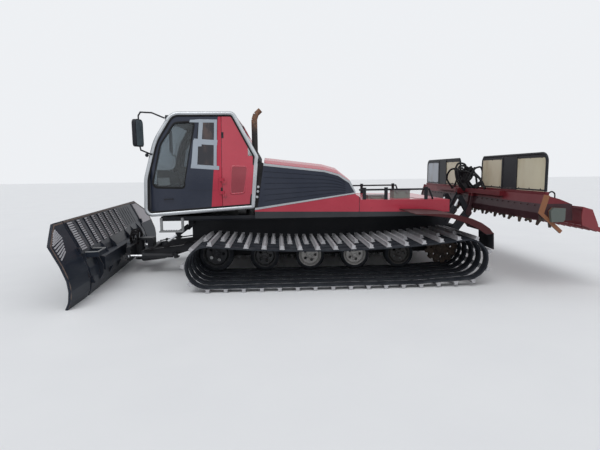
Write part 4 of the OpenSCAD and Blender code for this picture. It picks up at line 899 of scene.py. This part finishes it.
levers, screen, console, shelf, papers = (Shape() for k in range(5))
for y in (-0.60, -0.44):
    levers.tube([(-2.62, y, 1.60), (-2.55, y, 1.70), (-2.54, y, 1.83)], 0.010)
    levers.lathe([(0, 0.11), (0.016, 0.10), (0.021, 0.06), (0.016, 0.0)], 10,
                 Matrix.Translation((-2.54, y, 1.82)))
levers.tube([(-1.98, 0, 1.61), (-2.02, 0, 1.74)], 0.014)
levers.lathe([(0, 0.12), (0.022, 0.11), (0.028, 0.05), (0.020, 0.0)], 12,
             Matrix.Translation((-2.02, 0, 1.73)))
levers.piece("cab_levers", "black", slot="dash_plastic", smooth=True)
screen.box((-0.02, -0.15, -0.10), (0.02, 0.15, 0.10), toward((-2.60, -0.10, 1.78), (0.25, 0, 1)), bevel=0.006)
screen.piece("cab_screen", "dash")
for outline, near, far in CONSOLES:
    console.prism(outline, near, far)
console.piece("cab_consoles", "dash", bevel=0.012)
shelf.box((-2.56, -0.76, 1.575), (-2.28, -0.40, 1.600), bevel=0.006)
shelf.tube([(-2.57, -0.58, 1.45), (-2.42, -0.58, 1.588)], 0.016)
shelf.piece("cab_shelf", "dash")
papers.box((-0.10, -0.09, 0), (0.10, 0.09, 0.004), Matrix.Translation((-2.640, -0.990, 1.700)) @
           Matrix.Rotation(0.35, 4, "Z") @ Matrix.Rotation(0.80, 4, "X"))
papers.piece("cab_papers", "paper", bevel=0.001)


# Hood: ribs pressed into its sides. Sill: the seam and the screws below

RIB_FRONT, RIB_REAR, RIB_STEPS = -0.910, 0.490, 14
RIBS, RIB_FIRST, RIB_SHARE, RIB_Y = 6, 0.14, 0.145, -1.1445
HOOD_LOW = [(-1.030, 1.238), (0.650, 1.474)]
HOOD_HIGH = [(-0.918, 1.952), (0.122, 1.832), (0.360, 1.765), (0.552, 1.640)]
SCREWS = (-0.95, -0.45, 0.05, 0.55, 0.95, 1.45, 1.95, 2.25)

ribs, screws, seam = Shape(), Shape(), Shape()
for i in range(RIBS):
    f = RIB_FIRST + RIB_SHARE * i
    path = []
    for k in range(RIB_STEPS + 1):
        x = RIB_FRONT + (RIB_REAR - RIB_FRONT) * k / RIB_STEPS
        path.append((x, RIB_Y, height_on(HOOD_LOW, x) * (1 - f) + height_on(HOOD_HIGH, x) * f))
    ribs.tube(path, 0.008, 8)
# The ribs take the darker navy: painted shade along them
ribs.piece("hood_side_ribs", "navy_rib_shaded", smooth=True, mirrored=True)
for x in SCREWS:
    screws.bolt(0.006, 0.007, 0.010, 8, leftward(x, -BODY_HALF, 1.215))
screws.piece("sill_screws", "sill", mirrored=True)
seam.box((0.731, -1.1515, 1.134), (0.739, -1.145, 1.400))
seam.piece("sill_seam", "black", mirrored=True)


# Deck: lids and catches of the boxes, caps and bolts of the posts

BOXES = [(1.440, 1.740, -0.760, -0.480, 1.490), (0.960, 1.280, -0.800, -0.560, 1.400)]
POSTS = (0.824, 1.205, 1.914)

lids, caps = Shape(), Shape()
for x0, x1, y0, y1, z in BOXES:
    lids.box((x0 - 0.008, y0 - 0.008, z - 0.018), (x1 + 0.008, y1 + 0.008, z + 0.006), bevel=0.004)
    for x in (x0 + 0.06, x1 - 0.06):
        lids.box((x - 0.015, y0 - 0.016, z - 0.055), (x + 0.015, y0 - 0.002, z - 0.012), bevel=0.003)
lids.piece("deck_box_lids", "grey")
for x in POSTS:
    caps.box((x - 0.034, -1.146, 1.545), (x + 0.034, -1.124, 1.556), bevel=0.004)
    for z in (1.47, 1.53):
        caps.bolt(0.008, 0.009, 0.011, 6, leftward(x, -1.142, z))
caps.piece("post_caps", "black", mirrored=True)


# Wheels: nuts and hub caps

WHEELS = [(IDLER_X, 0.4000)] + [(WHEEL_X + WHEEL_PITCH * i, 0.330) for i in range(4)]
HUB_CAP = [(0, 0.030), (0.030, 0.028), (0.038, 0.018), (0.040, 0.0)]
WHEEL_NUT = [(0, 0.022), (0.009, 0.021), (0.011, 0.016), (0.011, 0.0)]
NUT_CIRCLE = 0.088

nuts = Shape()
for x, z in WHEELS:
    nuts.lathe(HUB_CAP, 16, leftward(x, -0.934, z))
    for k in range(5):
        a = radians(36 + 72 * k)
        nuts.lathe(WHEEL_NUT, 6, leftward(x + NUT_CIRCLE * cos(a), -0.898, z + NUT_CIRCLE * sin(a)))
nuts.piece("wheel_nuts", "wheel", smooth=True, mirrored=True)


# Blade: rungs and covers behind its slots, worn edges, ribs and the open tray

BLADE_YAW = radians(4.6)
YAW_PIN = Vector((-3.400, 0, 0))
BLADE = Matrix.Translation(YAW_PIN) @ Matrix.Rotation(BLADE_YAW, 4, "Z") @ Matrix.Translation(-YAW_PIN)
FACE = [(-3.790, 0.018), (-3.744, 0.118), (-3.728, 0.268), (-3.746, 0.418), (-3.820, 0.618), (-3.920, 0.818),
        (-4.000, 0.978), (-4.080, 1.150)]
SHEET = 0.032
BLADE_HALF = 2.030


def rear_x(z):
    """Where the rear of the blade's sheet stands at a height."""
    return height_on([(h, x) for x, h in FACE], z) + SHEET * 1.10


def behind(points):
    """Points in x and z from (height at which the rear is taken, distance behind it, height)."""
    return [(rear_x(h) + t, z) for h, t, z in points]


SLOTS_CUT, SLOT_FIRST, SLOT_STEP = 21, -1.910, 0.180
LADDERS = [(-1.990, -1.765)] + [(-1.575 + 0.360 * i, -1.430 + 0.360 * i) for i in range(7)]
RUNGS, RUNG_LOW, RUNG_HIGH, RUNG = 13, 0.705, 1.118, 0.018
COVER = [(0.735, -0.002, 0.735), (0.735, 0.006, 0.735), (1.100, 0.006, 1.100), (1.100, -0.002, 1.100)]
RAIL = [(RUNG_LOW, -0.002, RUNG_LOW - 0.01), (RUNG_LOW, 0.016, RUNG_LOW - 0.01),
        (RUNG_HIGH, 0.016, RUNG_HIGH + 0.008), (RUNG_HIGH, -0.002, RUNG_HIGH + 0.008)]
LIP = [(-4.0765, 1.140), (-4.036, 1.128), (-4.032, 1.150), (-4.0755, 1.158)]
EDGE_BOLTS, EDGE_BOLT_FIRST, EDGE_BOLT_STEP = 17, -1.92, 0.24
CUTTER = [(-3.800, 0.022), (-3.790, 0.018), (-3.752, 0.110), (-3.762, 0.114)]
RIB = [(0.16, 0, 0.16), (0.25, 0.055, 0.26), (0.42, 0.075, 0.40), (0.62, 0.06, 0.60), (0.72, 0, 0.72),
       (0.60, 0, 0.60), (0.42, 0, 0.42), (0.26, 0, 0.26)]

rungs, covers, rails, lip, cutting, ribs = (Shape() for k in range(6))
for k in range(SLOTS_CUT):
    y = SLOT_FIRST + SLOT_STEP * k
    if k % 2 or k > 14:
        covers.prism(behind(COVER), y - 0.012, y + 0.102, BLADE)
for near, far in LADDERS:
    for i in range(RUNGS):
        z = RUNG_LOW + (RUNG_HIGH - RUNG_LOW - RUNG) * i / (RUNGS - 1)
        top = z + RUNG
        rungs.prism(behind([(z, 0.001, z), (z, 0.013, z), (top, 0.013, top), (top, 0.001, top)]), near, far,
                    BLADE)
    for edge in (near - 0.012, far):
        rails.prism(behind(RAIL), edge, edge + 0.012, BLADE)
rungs.piece("blade_rungs", "rung", "blade_body")
covers.piece("blade_slot_covers", "blade_navy", "blade_body")
rails.piece("blade_rung_rails", "blade_navy", "blade_body")
lip.prism(LIP, -BLADE_HALF, BLADE_HALF, BLADE)
lip.piece("blade_top_lip", "worn_edge", "blade_body", bevel=0.003)
cutting.prism(CUTTER, -BLADE_HALF + 0.01, BLADE_HALF - 0.01, BLADE)
for k in range(EDGE_BOLTS):
    y = EDGE_BOLT_FIRST + EDGE_BOLT_STEP * k
    cutting.bolt(0.008, 0.013, 0.016, 8, BLADE @ toward((-3.775, y, 0.066), (-1, 0, 0.5)))
cutting.piece("blade_cutting_edge", "worn_edge", "blade_body", "rusty_steel")
for y in (-1.62, -1.08, -0.54, 0.54, 1.08, 1.62):
    ribs.prism(behind(RIB), y - 0.008, y + 0.008, BLADE)
ribs.piece("blade_rear_ribs", "blade_navy", "blade_body")

TRAY_LOW, TRAY_TOP, TRAY_NEAR, TRAY_FAR = 0.590, 0.672, -1.990, -1.610
TRAY_DEPTH, TRAY_WALL, TRAY_RIM = 0.190, 0.010, 0.011

tray, tray_highlight_rims = Shape(), Shape()
x0 = rear_x(TRAY_LOW) - 0.004
x1 = x0 + TRAY_DEPTH
inner_x, inner_near, inner_far = x1 - TRAY_WALL, TRAY_NEAR + TRAY_WALL, TRAY_FAR - TRAY_WALL
tray.box((x0, TRAY_NEAR, TRAY_LOW), (x1, inner_near, TRAY_TOP), BLADE)
tray.box((x0, inner_far, TRAY_LOW), (x1, TRAY_FAR, TRAY_TOP), BLADE)
tray.box((inner_x, inner_near, TRAY_LOW), (x1, inner_far, TRAY_TOP), BLADE)
tray.box((x0, inner_near, TRAY_LOW), (inner_x, inner_far, TRAY_LOW + TRAY_WALL), BLADE)
tray.piece("blade_rear_tray", "blade_navy", "blade_body")
half_wall = TRAY_WALL / 2
# Light grey tubes along the navy tray's top edges: painted highlight on those edges
tray_highlight_rims.tube([BLADE @ Vector((x, y, TRAY_TOP)) for x, y in (
    (x0, TRAY_NEAR + half_wall), (x1 - half_wall, TRAY_NEAR + half_wall),
    (x1 - half_wall, TRAY_FAR - half_wall), (x0, TRAY_FAR - half_wall))], TRAY_RIM, 8)
tray_highlight_rims.piece("blade_tray_highlight_rims", "grey", "blade_body", smooth=True)


# Wings: the fan of slats on the left one, the pale panel on the right one, covers and worn edges

WING_AXIS = Vector((-0.27, 0, 1)).normalized()
WING_HINGE = Vector((-3.680, -BLADE_HALF - 0.028, 0))
WING_START = -2.086
WING_EDGE = [(0.0, 1.128), (-0.262, 1.128), (-0.659, 0.878), (-0.659, 0.060)]
FAN_SLATS, SLAT_HALF = 11, 0.007
FAN_INNER = [(-2.400, 1.075), (-2.345, 0.960), (-2.470, 0.780)]
FAN_OUTER = [(-2.515, 1.030), (-2.690, 0.900), (-2.690, 0.700)]
WING_COVER = [(-2.640, 0.680), (-2.220, 0.680), (-2.220, 0.950), (-2.640, 0.950)]
PANEL = [(-2.700, 0.655), (-2.130, 0.655), (-2.130, 1.100), (-2.370, 1.100), (-2.700, 0.865)]
SHEET_LEAN = (rear_x(1.0) - rear_x(0.7)) / 0.3
# Takes a form drawn in y and z to the leaning sheet. It swaps two axes, so it mirrors the form.
SHEET_SKEW = Matrix(((0, 1, SHEET_LEAN, rear_x(0.7) - 0.7 * SHEET_LEAN), (1, 0, 0, 0), (0, 0, 1, 0),
                     (0, 0, 0, 1)))


def wing_place(side, fold):
    """The placement of a wing that is drawn on the left side and folded back by fold degrees."""
    turn = (Matrix.Translation(WING_HINGE) @ Matrix.Rotation(radians(fold), 4, WING_AXIS)
            @ Matrix.Translation(-WING_HINGE))
    return BLADE @ (Matrix.Diagonal((1, -1, 1, 1)) @ turn if side > 0 else turn)


def between(line, t):
    """The point at a share t of the rows of a line."""
    t *= len(line) - 1
    i = min(int(t), len(line) - 2)
    return [p + (q - p) * (t - i) for p, q in zip(line[i], line[i + 1])]


for name, body, side, fold in (("wing_left", "left_wing", -1, -4), ("wing_right", "right_wing", 1, 9)):
    place = wing_place(side, fold)
    sheet = place @ SHEET_SKEW
    slats, edge, cover = Shape(), Shape(), Shape()
    if side > 0:
        slats.prism(PANEL, 0.004, 0.010, sheet)
    else:
        for k in range(FAN_SLATS):
            t = k / (FAN_SLATS - 1)
            y0, z0 = between(FAN_INNER, t)
            y1, z1 = between(FAN_OUTER, t)
            slats.prism([(y1, z1 - SLAT_HALF), (y0, z0 - SLAT_HALF), (y0, z0 + SLAT_HALF),
                         (y1, z1 + SLAT_HALF)], 0.003, 0.015, sheet)
    cover.prism(WING_COVER, -0.002, 0.006, sheet)
    for (y0, z0), (y1, z1) in zip(WING_EDGE, WING_EDGE[1:]):
        cuts = 1 if abs(z1 - z0) < 0.3 else 6
        path = []
        for t in range(cuts + 1):
            z = z0 + (z1 - z0) * t / cuts
            path.append((rear_x(z) - 0.015, WING_START + y0 + (y1 - y0) * t / cuts, z))
        edge.tube(path, 0.0195, 8)
    edge.points = [place @ p for p in edge.points]
    # Turns back the faces that a mirroring placement turned inside out
    for shape in [edge] if side > 0 else [slats, cover]:
        shape.flipped()
    slats.piece(name + "_slats", "rung" if side < 0 else "mesh_panel", body)
    cover.piece(name + "_cover", "blade_navy", body)
    edge.piece(name + "_edge", "worn_edge", body, smooth=True)


# Hoses of the blade's head and of the push frame

HEAD_HOSES = [(-0.22, 0.06), (-0.16, 0.10), (-0.10, 0.13), (0.08, 0.12), (0.15, 0.08), (0.21, 0.05)]
HEAD_UNION = [(0.018, 0.0), (0.021, 0.004), (0.021, 0.030), (0.016, 0.036), (0.0, 0.036)]
ARM_LINE = [(-2.25, 0.575), (-2.55, 0.528), (-2.86, 0.492), (-3.16, 0.440)]
ARM_CLIPS = [(-2.40, 0.545), (-2.72, 0.505), (-3.02, 0.463)]

head, lines = Shape(), Shape()
for y, rise in HEAD_HOSES:
    first, last = (-3.535, y * 0.6, 0.500), (-3.420, y * 1.2, 0.505)
    path = curve_through([first, (-3.545, y * 0.8, 0.560 + rise), (-3.470, y, 0.640 + rise),
                          (-3.400, y * 1.1, 0.600 + rise), last], 7)
    head.tube([BLADE @ p for p in path], 0.013, 8)
    for p in (first, last):
        head.lathe(HEAD_UNION, 6, BLADE @ Matrix.Translation((p[0], p[1], p[2] - 0.016)))
head.piece("head_hoses", "hose", "blade_head", smooth=True)
for y in (-0.585, -0.562):
    lines.tube(curve_through([(x, y, z) for x, z in ARM_LINE], 6), 0.011, 8)
for x, z in ARM_CLIPS:
    lines.box((x - 0.02, -0.600, z - 0.012), (x + 0.02, -0.548, z + 0.028), bevel=0.003)
lines.piece("push_arm_lines", "hose", "push_arm", smooth=True, mirrored=True)


# Tiller: valve hoses, the shields' round frames, hooks and bolts on its housing

HOSE_R = 0.019
HOSES = [
    [(3.078, -0.170, 1.640), (3.070, -0.175, 1.760), (3.000, -0.200, 1.900), (2.860, -0.260, 1.905),
     (2.800, -0.320, 1.780), (2.850, -0.345, 1.600), (2.960, -0.300, 1.480)],
    [(3.078, -0.102, 1.640), (3.072, -0.110, 1.790), (3.010, -0.160, 1.940), (2.850, -0.220, 1.960),
     (2.770, -0.290, 1.820), (2.810, -0.330, 1.600), (2.950, -0.290, 1.450)],
    [(3.078, -0.034, 1.640), (3.085, -0.060, 1.770), (3.120, -0.200, 1.850), (3.130, -0.360, 1.760),
     (3.120, -0.460, 1.600), (3.100, -0.520, 1.500)],
    [(3.078, 0.034, 1.640), (3.080, 0.060, 1.800), (3.110, 0.220, 1.880), (3.125, 0.400, 1.780),
     (3.110, 0.500, 1.600), (3.090, 0.540, 1.490)],
    [(3.078, 0.102, 1.640), (3.060, 0.130, 1.760), (2.980, 0.190, 1.860), (2.870, 0.250, 1.830),
     (2.830, 0.300, 1.660), (2.950, 0.290, 1.470)],
    [(3.078, -0.150, 1.600), (3.030, -0.330, 1.700), (3.060, -0.520, 1.740), (3.110, -0.700, 1.620),
     (3.110, -0.820, 1.500)],
]
HOSES += [[(3.078, -0.19 + 0.045 * i, 1.640), (3.06 + 0.05 * random.random(), -0.20 + 0.05 * i, 1.760),
           (2.92 + 0.46 * random.random(), -0.42 + 0.09 * i, 1.80 + 0.11 * random.random()),
           (2.96 + 0.44 * random.random(), -0.44 + 0.09 * i, 1.60 + 0.10 * random.random()),
           (3.110, -0.42 + 0.09 * i, 1.480)] for i in range(9)]
HOSE_END = [(0.0, -0.012), (0.021, -0.012), (0.024, -0.006), (0.024, 0.020), (HOSE_R, 0.028),
            (HOSE_R, 0.055), (0.0, 0.055)]
SHIELD_X, SHIELD_LOW, SHIELD_TOP = 3.200, 1.512, 2.070
SHIELD_BEND = 0.120
SHIELD_POSTS = (1.30, 1.75)
HOOK = [(3.400, 1.405), (3.405, 1.470), (3.450, 1.500), (3.500, 1.470), (3.505, 1.372)]
BOLT_ROW, BOLT_FIRST, BOLT_STEP = 27, -2.470, 0.190
TILLER_BOLTS = [(3.260, 1.4405, (0.266, 0, 0.964)), (3.095, 1.318, (-0.95, 0, 0.31))]

loops, bars, hooks, bolts = (Shape() for k in range(4))
for path in HOSES:
    loops.tube(curve_through(path, 8), HOSE_R, 8)
    for end, step in ((path[0], path[1]), (path[-1], path[-2])):
        loops.lathe(HOSE_END, 8, toward(end, (Vector(step) - Vector(end)).normalized()))
loops.piece("tiller_hoses", "hose", "tiller", smooth=True)

rim = [(0.520, SHIELD_LOW + 0.004), (0.520, 1.95), (0.532, 2.010), (0.575, SHIELD_TOP)]
rim += [(2.560 + SHIELD_BEND * (sin(a) - 1), SHIELD_TOP + SHIELD_BEND * (cos(a) - 1))
        for a in (radians(10 * k) for k in range(10))]
rim += [(2.560, 1.70), (2.560, SHIELD_LOW + 0.004)]
bars.tube([(SHIELD_X, -y, z) for y, z in rim], 0.021, 12)
bars.tube([(SHIELD_X, -y, SHIELD_LOW + 0.020) for y in (0.52, *SHIELD_POSTS, 2.56)], 0.014, 8)
bars.box((SHIELD_X - 0.013, -1.752, SHIELD_LOW), (SHIELD_X + 0.013, -1.298, SHIELD_TOP - 0.010),
         bevel=0.003)
bars.box((SHIELD_X - 0.010, -2.500, SHIELD_TOP - 0.060), (SHIELD_X + 0.010, -0.560, SHIELD_TOP - 0.004),
         bevel=0.003)
for y in SHIELD_POSTS:
    bars.box((SHIELD_X - 0.020, -y - 0.022, SHIELD_LOW), (SHIELD_X + 0.020, -y + 0.022, SHIELD_TOP - 0.02),
             bevel=0.006)
for y in (0.62, 0.92, 1.22, 1.84, 2.14, 2.44):
    for z in (SHIELD_LOW + 0.035, SHIELD_TOP - 0.055):
        bars.bolt(0.006, 0.010, 0.013, 8, toward((SHIELD_X - 0.0085, -y, z), (-1, 0, 0)))
bars.piece("shield_tubes", "black", "tiller", smooth=True, replaces=("shield_frames",), mirrored=True)
for y in (-2.30, -1.20, 1.20, 2.30):
    hooks.tube(curve_through([(x, y, z) for x, z in HOOK], 6), 0.011, 8)
hooks.piece("tiller_hooks", "black", "tiller", smooth=True)
for k in range(BOLT_ROW):
    for x, z, out in TILLER_BOLTS:
        bolts.bolt(0.009, 0.011, 0.014, 6, toward((x, BOLT_FIRST + BOLT_STEP * k, z), out))
bolts.piece("tiller_bolts", "tiller", "tiller")


# The mirrors' panes and joints, the lamps' rims and the steps' grating

MIRROR = [(-0.100, -0.205), (0.100, -0.205), (0.104, -0.18), (0.104, 0.17), (0.085, 0.205), (-0.085, 0.205),
          (-0.104, 0.17), (-0.104, -0.18)]
BALL = [(0, 0.032), (0.016, 0.028), (0.028, 0.016), (0.032, 0.0), (0.028, -0.016), (0.016, -0.028),
        (0, -0.032)]
LAMPS = [(-2.990, 1.400, 0.075), (-2.615, 2.795, 0.052)]
GRATES, GRATE_FRONT, GRATE_STEP, GRATE = 9, -2.700, 0.043, 0.010

glass, joints, rims, grating = (Shape() for k in range(4))
# The panes take the mirror look: a reflection painted in dark blue-grey
glass.prism(MIRROR, 0, 0.003, axes(Vector((-2.9560, -1.168, 2.515)), Vector((0.242, 0.970, 0)),
                                   Vector((0.970, -0.242, 0)), Vector((0, 0, 1))))
glass.piece("mirror_panes", "mirror", mirrored=True)
joints.lathe(BALL, 14, Matrix.Translation((-2.868, -1.128, 2.150)))
joints.piece("mirror_joints", "black", smooth=True, mirrored=True)
for x, z, r in LAMPS:
    rim = [(r + 0.002, 0.05), (r + 0.006, 0.045), (r + 0.006, 0.0), (r - 0.004, -0.004), (r - 0.010, 0.0),
           (r - 0.008, 0.010)]
    for y in (0.76, 0.44):
        rims.lathe(rim, 20, toward((x, -y, z), (1, 0, 0)))
rims.piece("lamp_rims", "black", smooth=True, mirrored=True)
for k in range(GRATES):
    x = GRATE_FRONT + GRATE_STEP * k
    grating.box((x, -1.195, 0.862), (x + GRATE, -1.085, 0.872), bevel=0.002)
grating.piece("step_grating", "grey", slot="black_paint", mirrored=True)


# The stage: floor, light and camera

FLOOR_HALF = 80
FLOOR_COLORS = (0.74, 0.75, 0.77), (0.80, 0.81, 0.82)
STUDIO_COLOR = (0.95, 0.97, 1.0, 1)
STUDIO_LIGHT, STUDIO_SEEN = 0.62, 0.90

scene = bpy.context.scene
floor_mesh = bpy.data.meshes.new("floor")
floor_mesh.from_pydata([(x * FLOOR_HALF, y * FLOOR_HALF, 0) for x, y in ((-1, -1), (1, -1), (1, 1), (-1, 1))],
                       [], [(0, 1, 2, 3)])
floor = bpy.data.objects.new("floor", floor_mesh)
scene.collection.objects.link(floor)
floor_tree = Tree("floor_pale")
floor_mesh.materials.append(floor_tree.finish(
    Base_Color=floor_tree.mix(floor_tree.noise(0.8), *FLOOR_COLORS), Roughness=0.85))

world = bpy.data.worlds.new("studio")
scene.world = world
world.use_nodes = True
tree = world.node_tree
background = tree.nodes["Background"]
light_path = tree.nodes.new("ShaderNodeLightPath")
strength = tree.nodes.new("ShaderNodeMapRange")
seen = light_path.outputs["Is Camera Ray"]
for kind in ("Is Glossy Ray", "Is Transmission Ray"):
    either = tree.nodes.new("ShaderNodeMath")
    either.operation = "MAXIMUM"
    tree.links.new(seen, either.inputs[0])
    tree.links.new(light_path.outputs[kind], either.inputs[1])
    seen = either.outputs["Value"]
tree.links.new(seen, strength.inputs["Value"])
strength.inputs["To Min"].default_value = STUDIO_LIGHT
strength.inputs["To Max"].default_value = STUDIO_SEEN
tree.links.new(strength.outputs["Result"], background.inputs["Strength"])
background.inputs["Color"].default_value = STUDIO_COLOR


def sun(name, direction, power, angle):
    light = bpy.data.lights.new(name, "SUN")
    light.energy = power
    light.angle = radians(angle)
    o = bpy.data.objects.new(name, light)
    o.rotation_euler = Vector(direction).to_track_quat("-Z", "Y").to_euler()
    scene.collection.objects.link(o)


sun("key", (0.35, 0.75, -1.0), power=1.1, angle=40)
sun("fill", (-0.6, 0.5, -0.45), power=0.45, angle=60)

data = bpy.data.cameras.new("photo_camera")
data.sensor_width = SENSOR_MM
data.lens = FOCAL_PX / PHOTO_WIDTH * SENSOR_MM
data.clip_end = CLIP_END
camera = bpy.data.objects.new("photo_camera", data)
level_ahead = Vector((sin(CAMERA_YAW), cos(CAMERA_YAW), 0))
ahead = level_ahead * cos(CAMERA_PITCH) - Vector((0, 0, sin(CAMERA_PITCH)))
level = Vector((cos(CAMERA_YAW), -sin(CAMERA_YAW), 0))
above = level.cross(ahead)
right = level * cos(CAMERA_ROLL) + above * sin(CAMERA_ROLL)
top = above * cos(CAMERA_ROLL) - level * sin(CAMERA_ROLL)
camera.matrix_world = axes(CAMERA_AT, right, top, -ahead)
scene.collection.objects.link(camera)
scene.camera = camera
scene.view_settings.view_transform = "Standard"
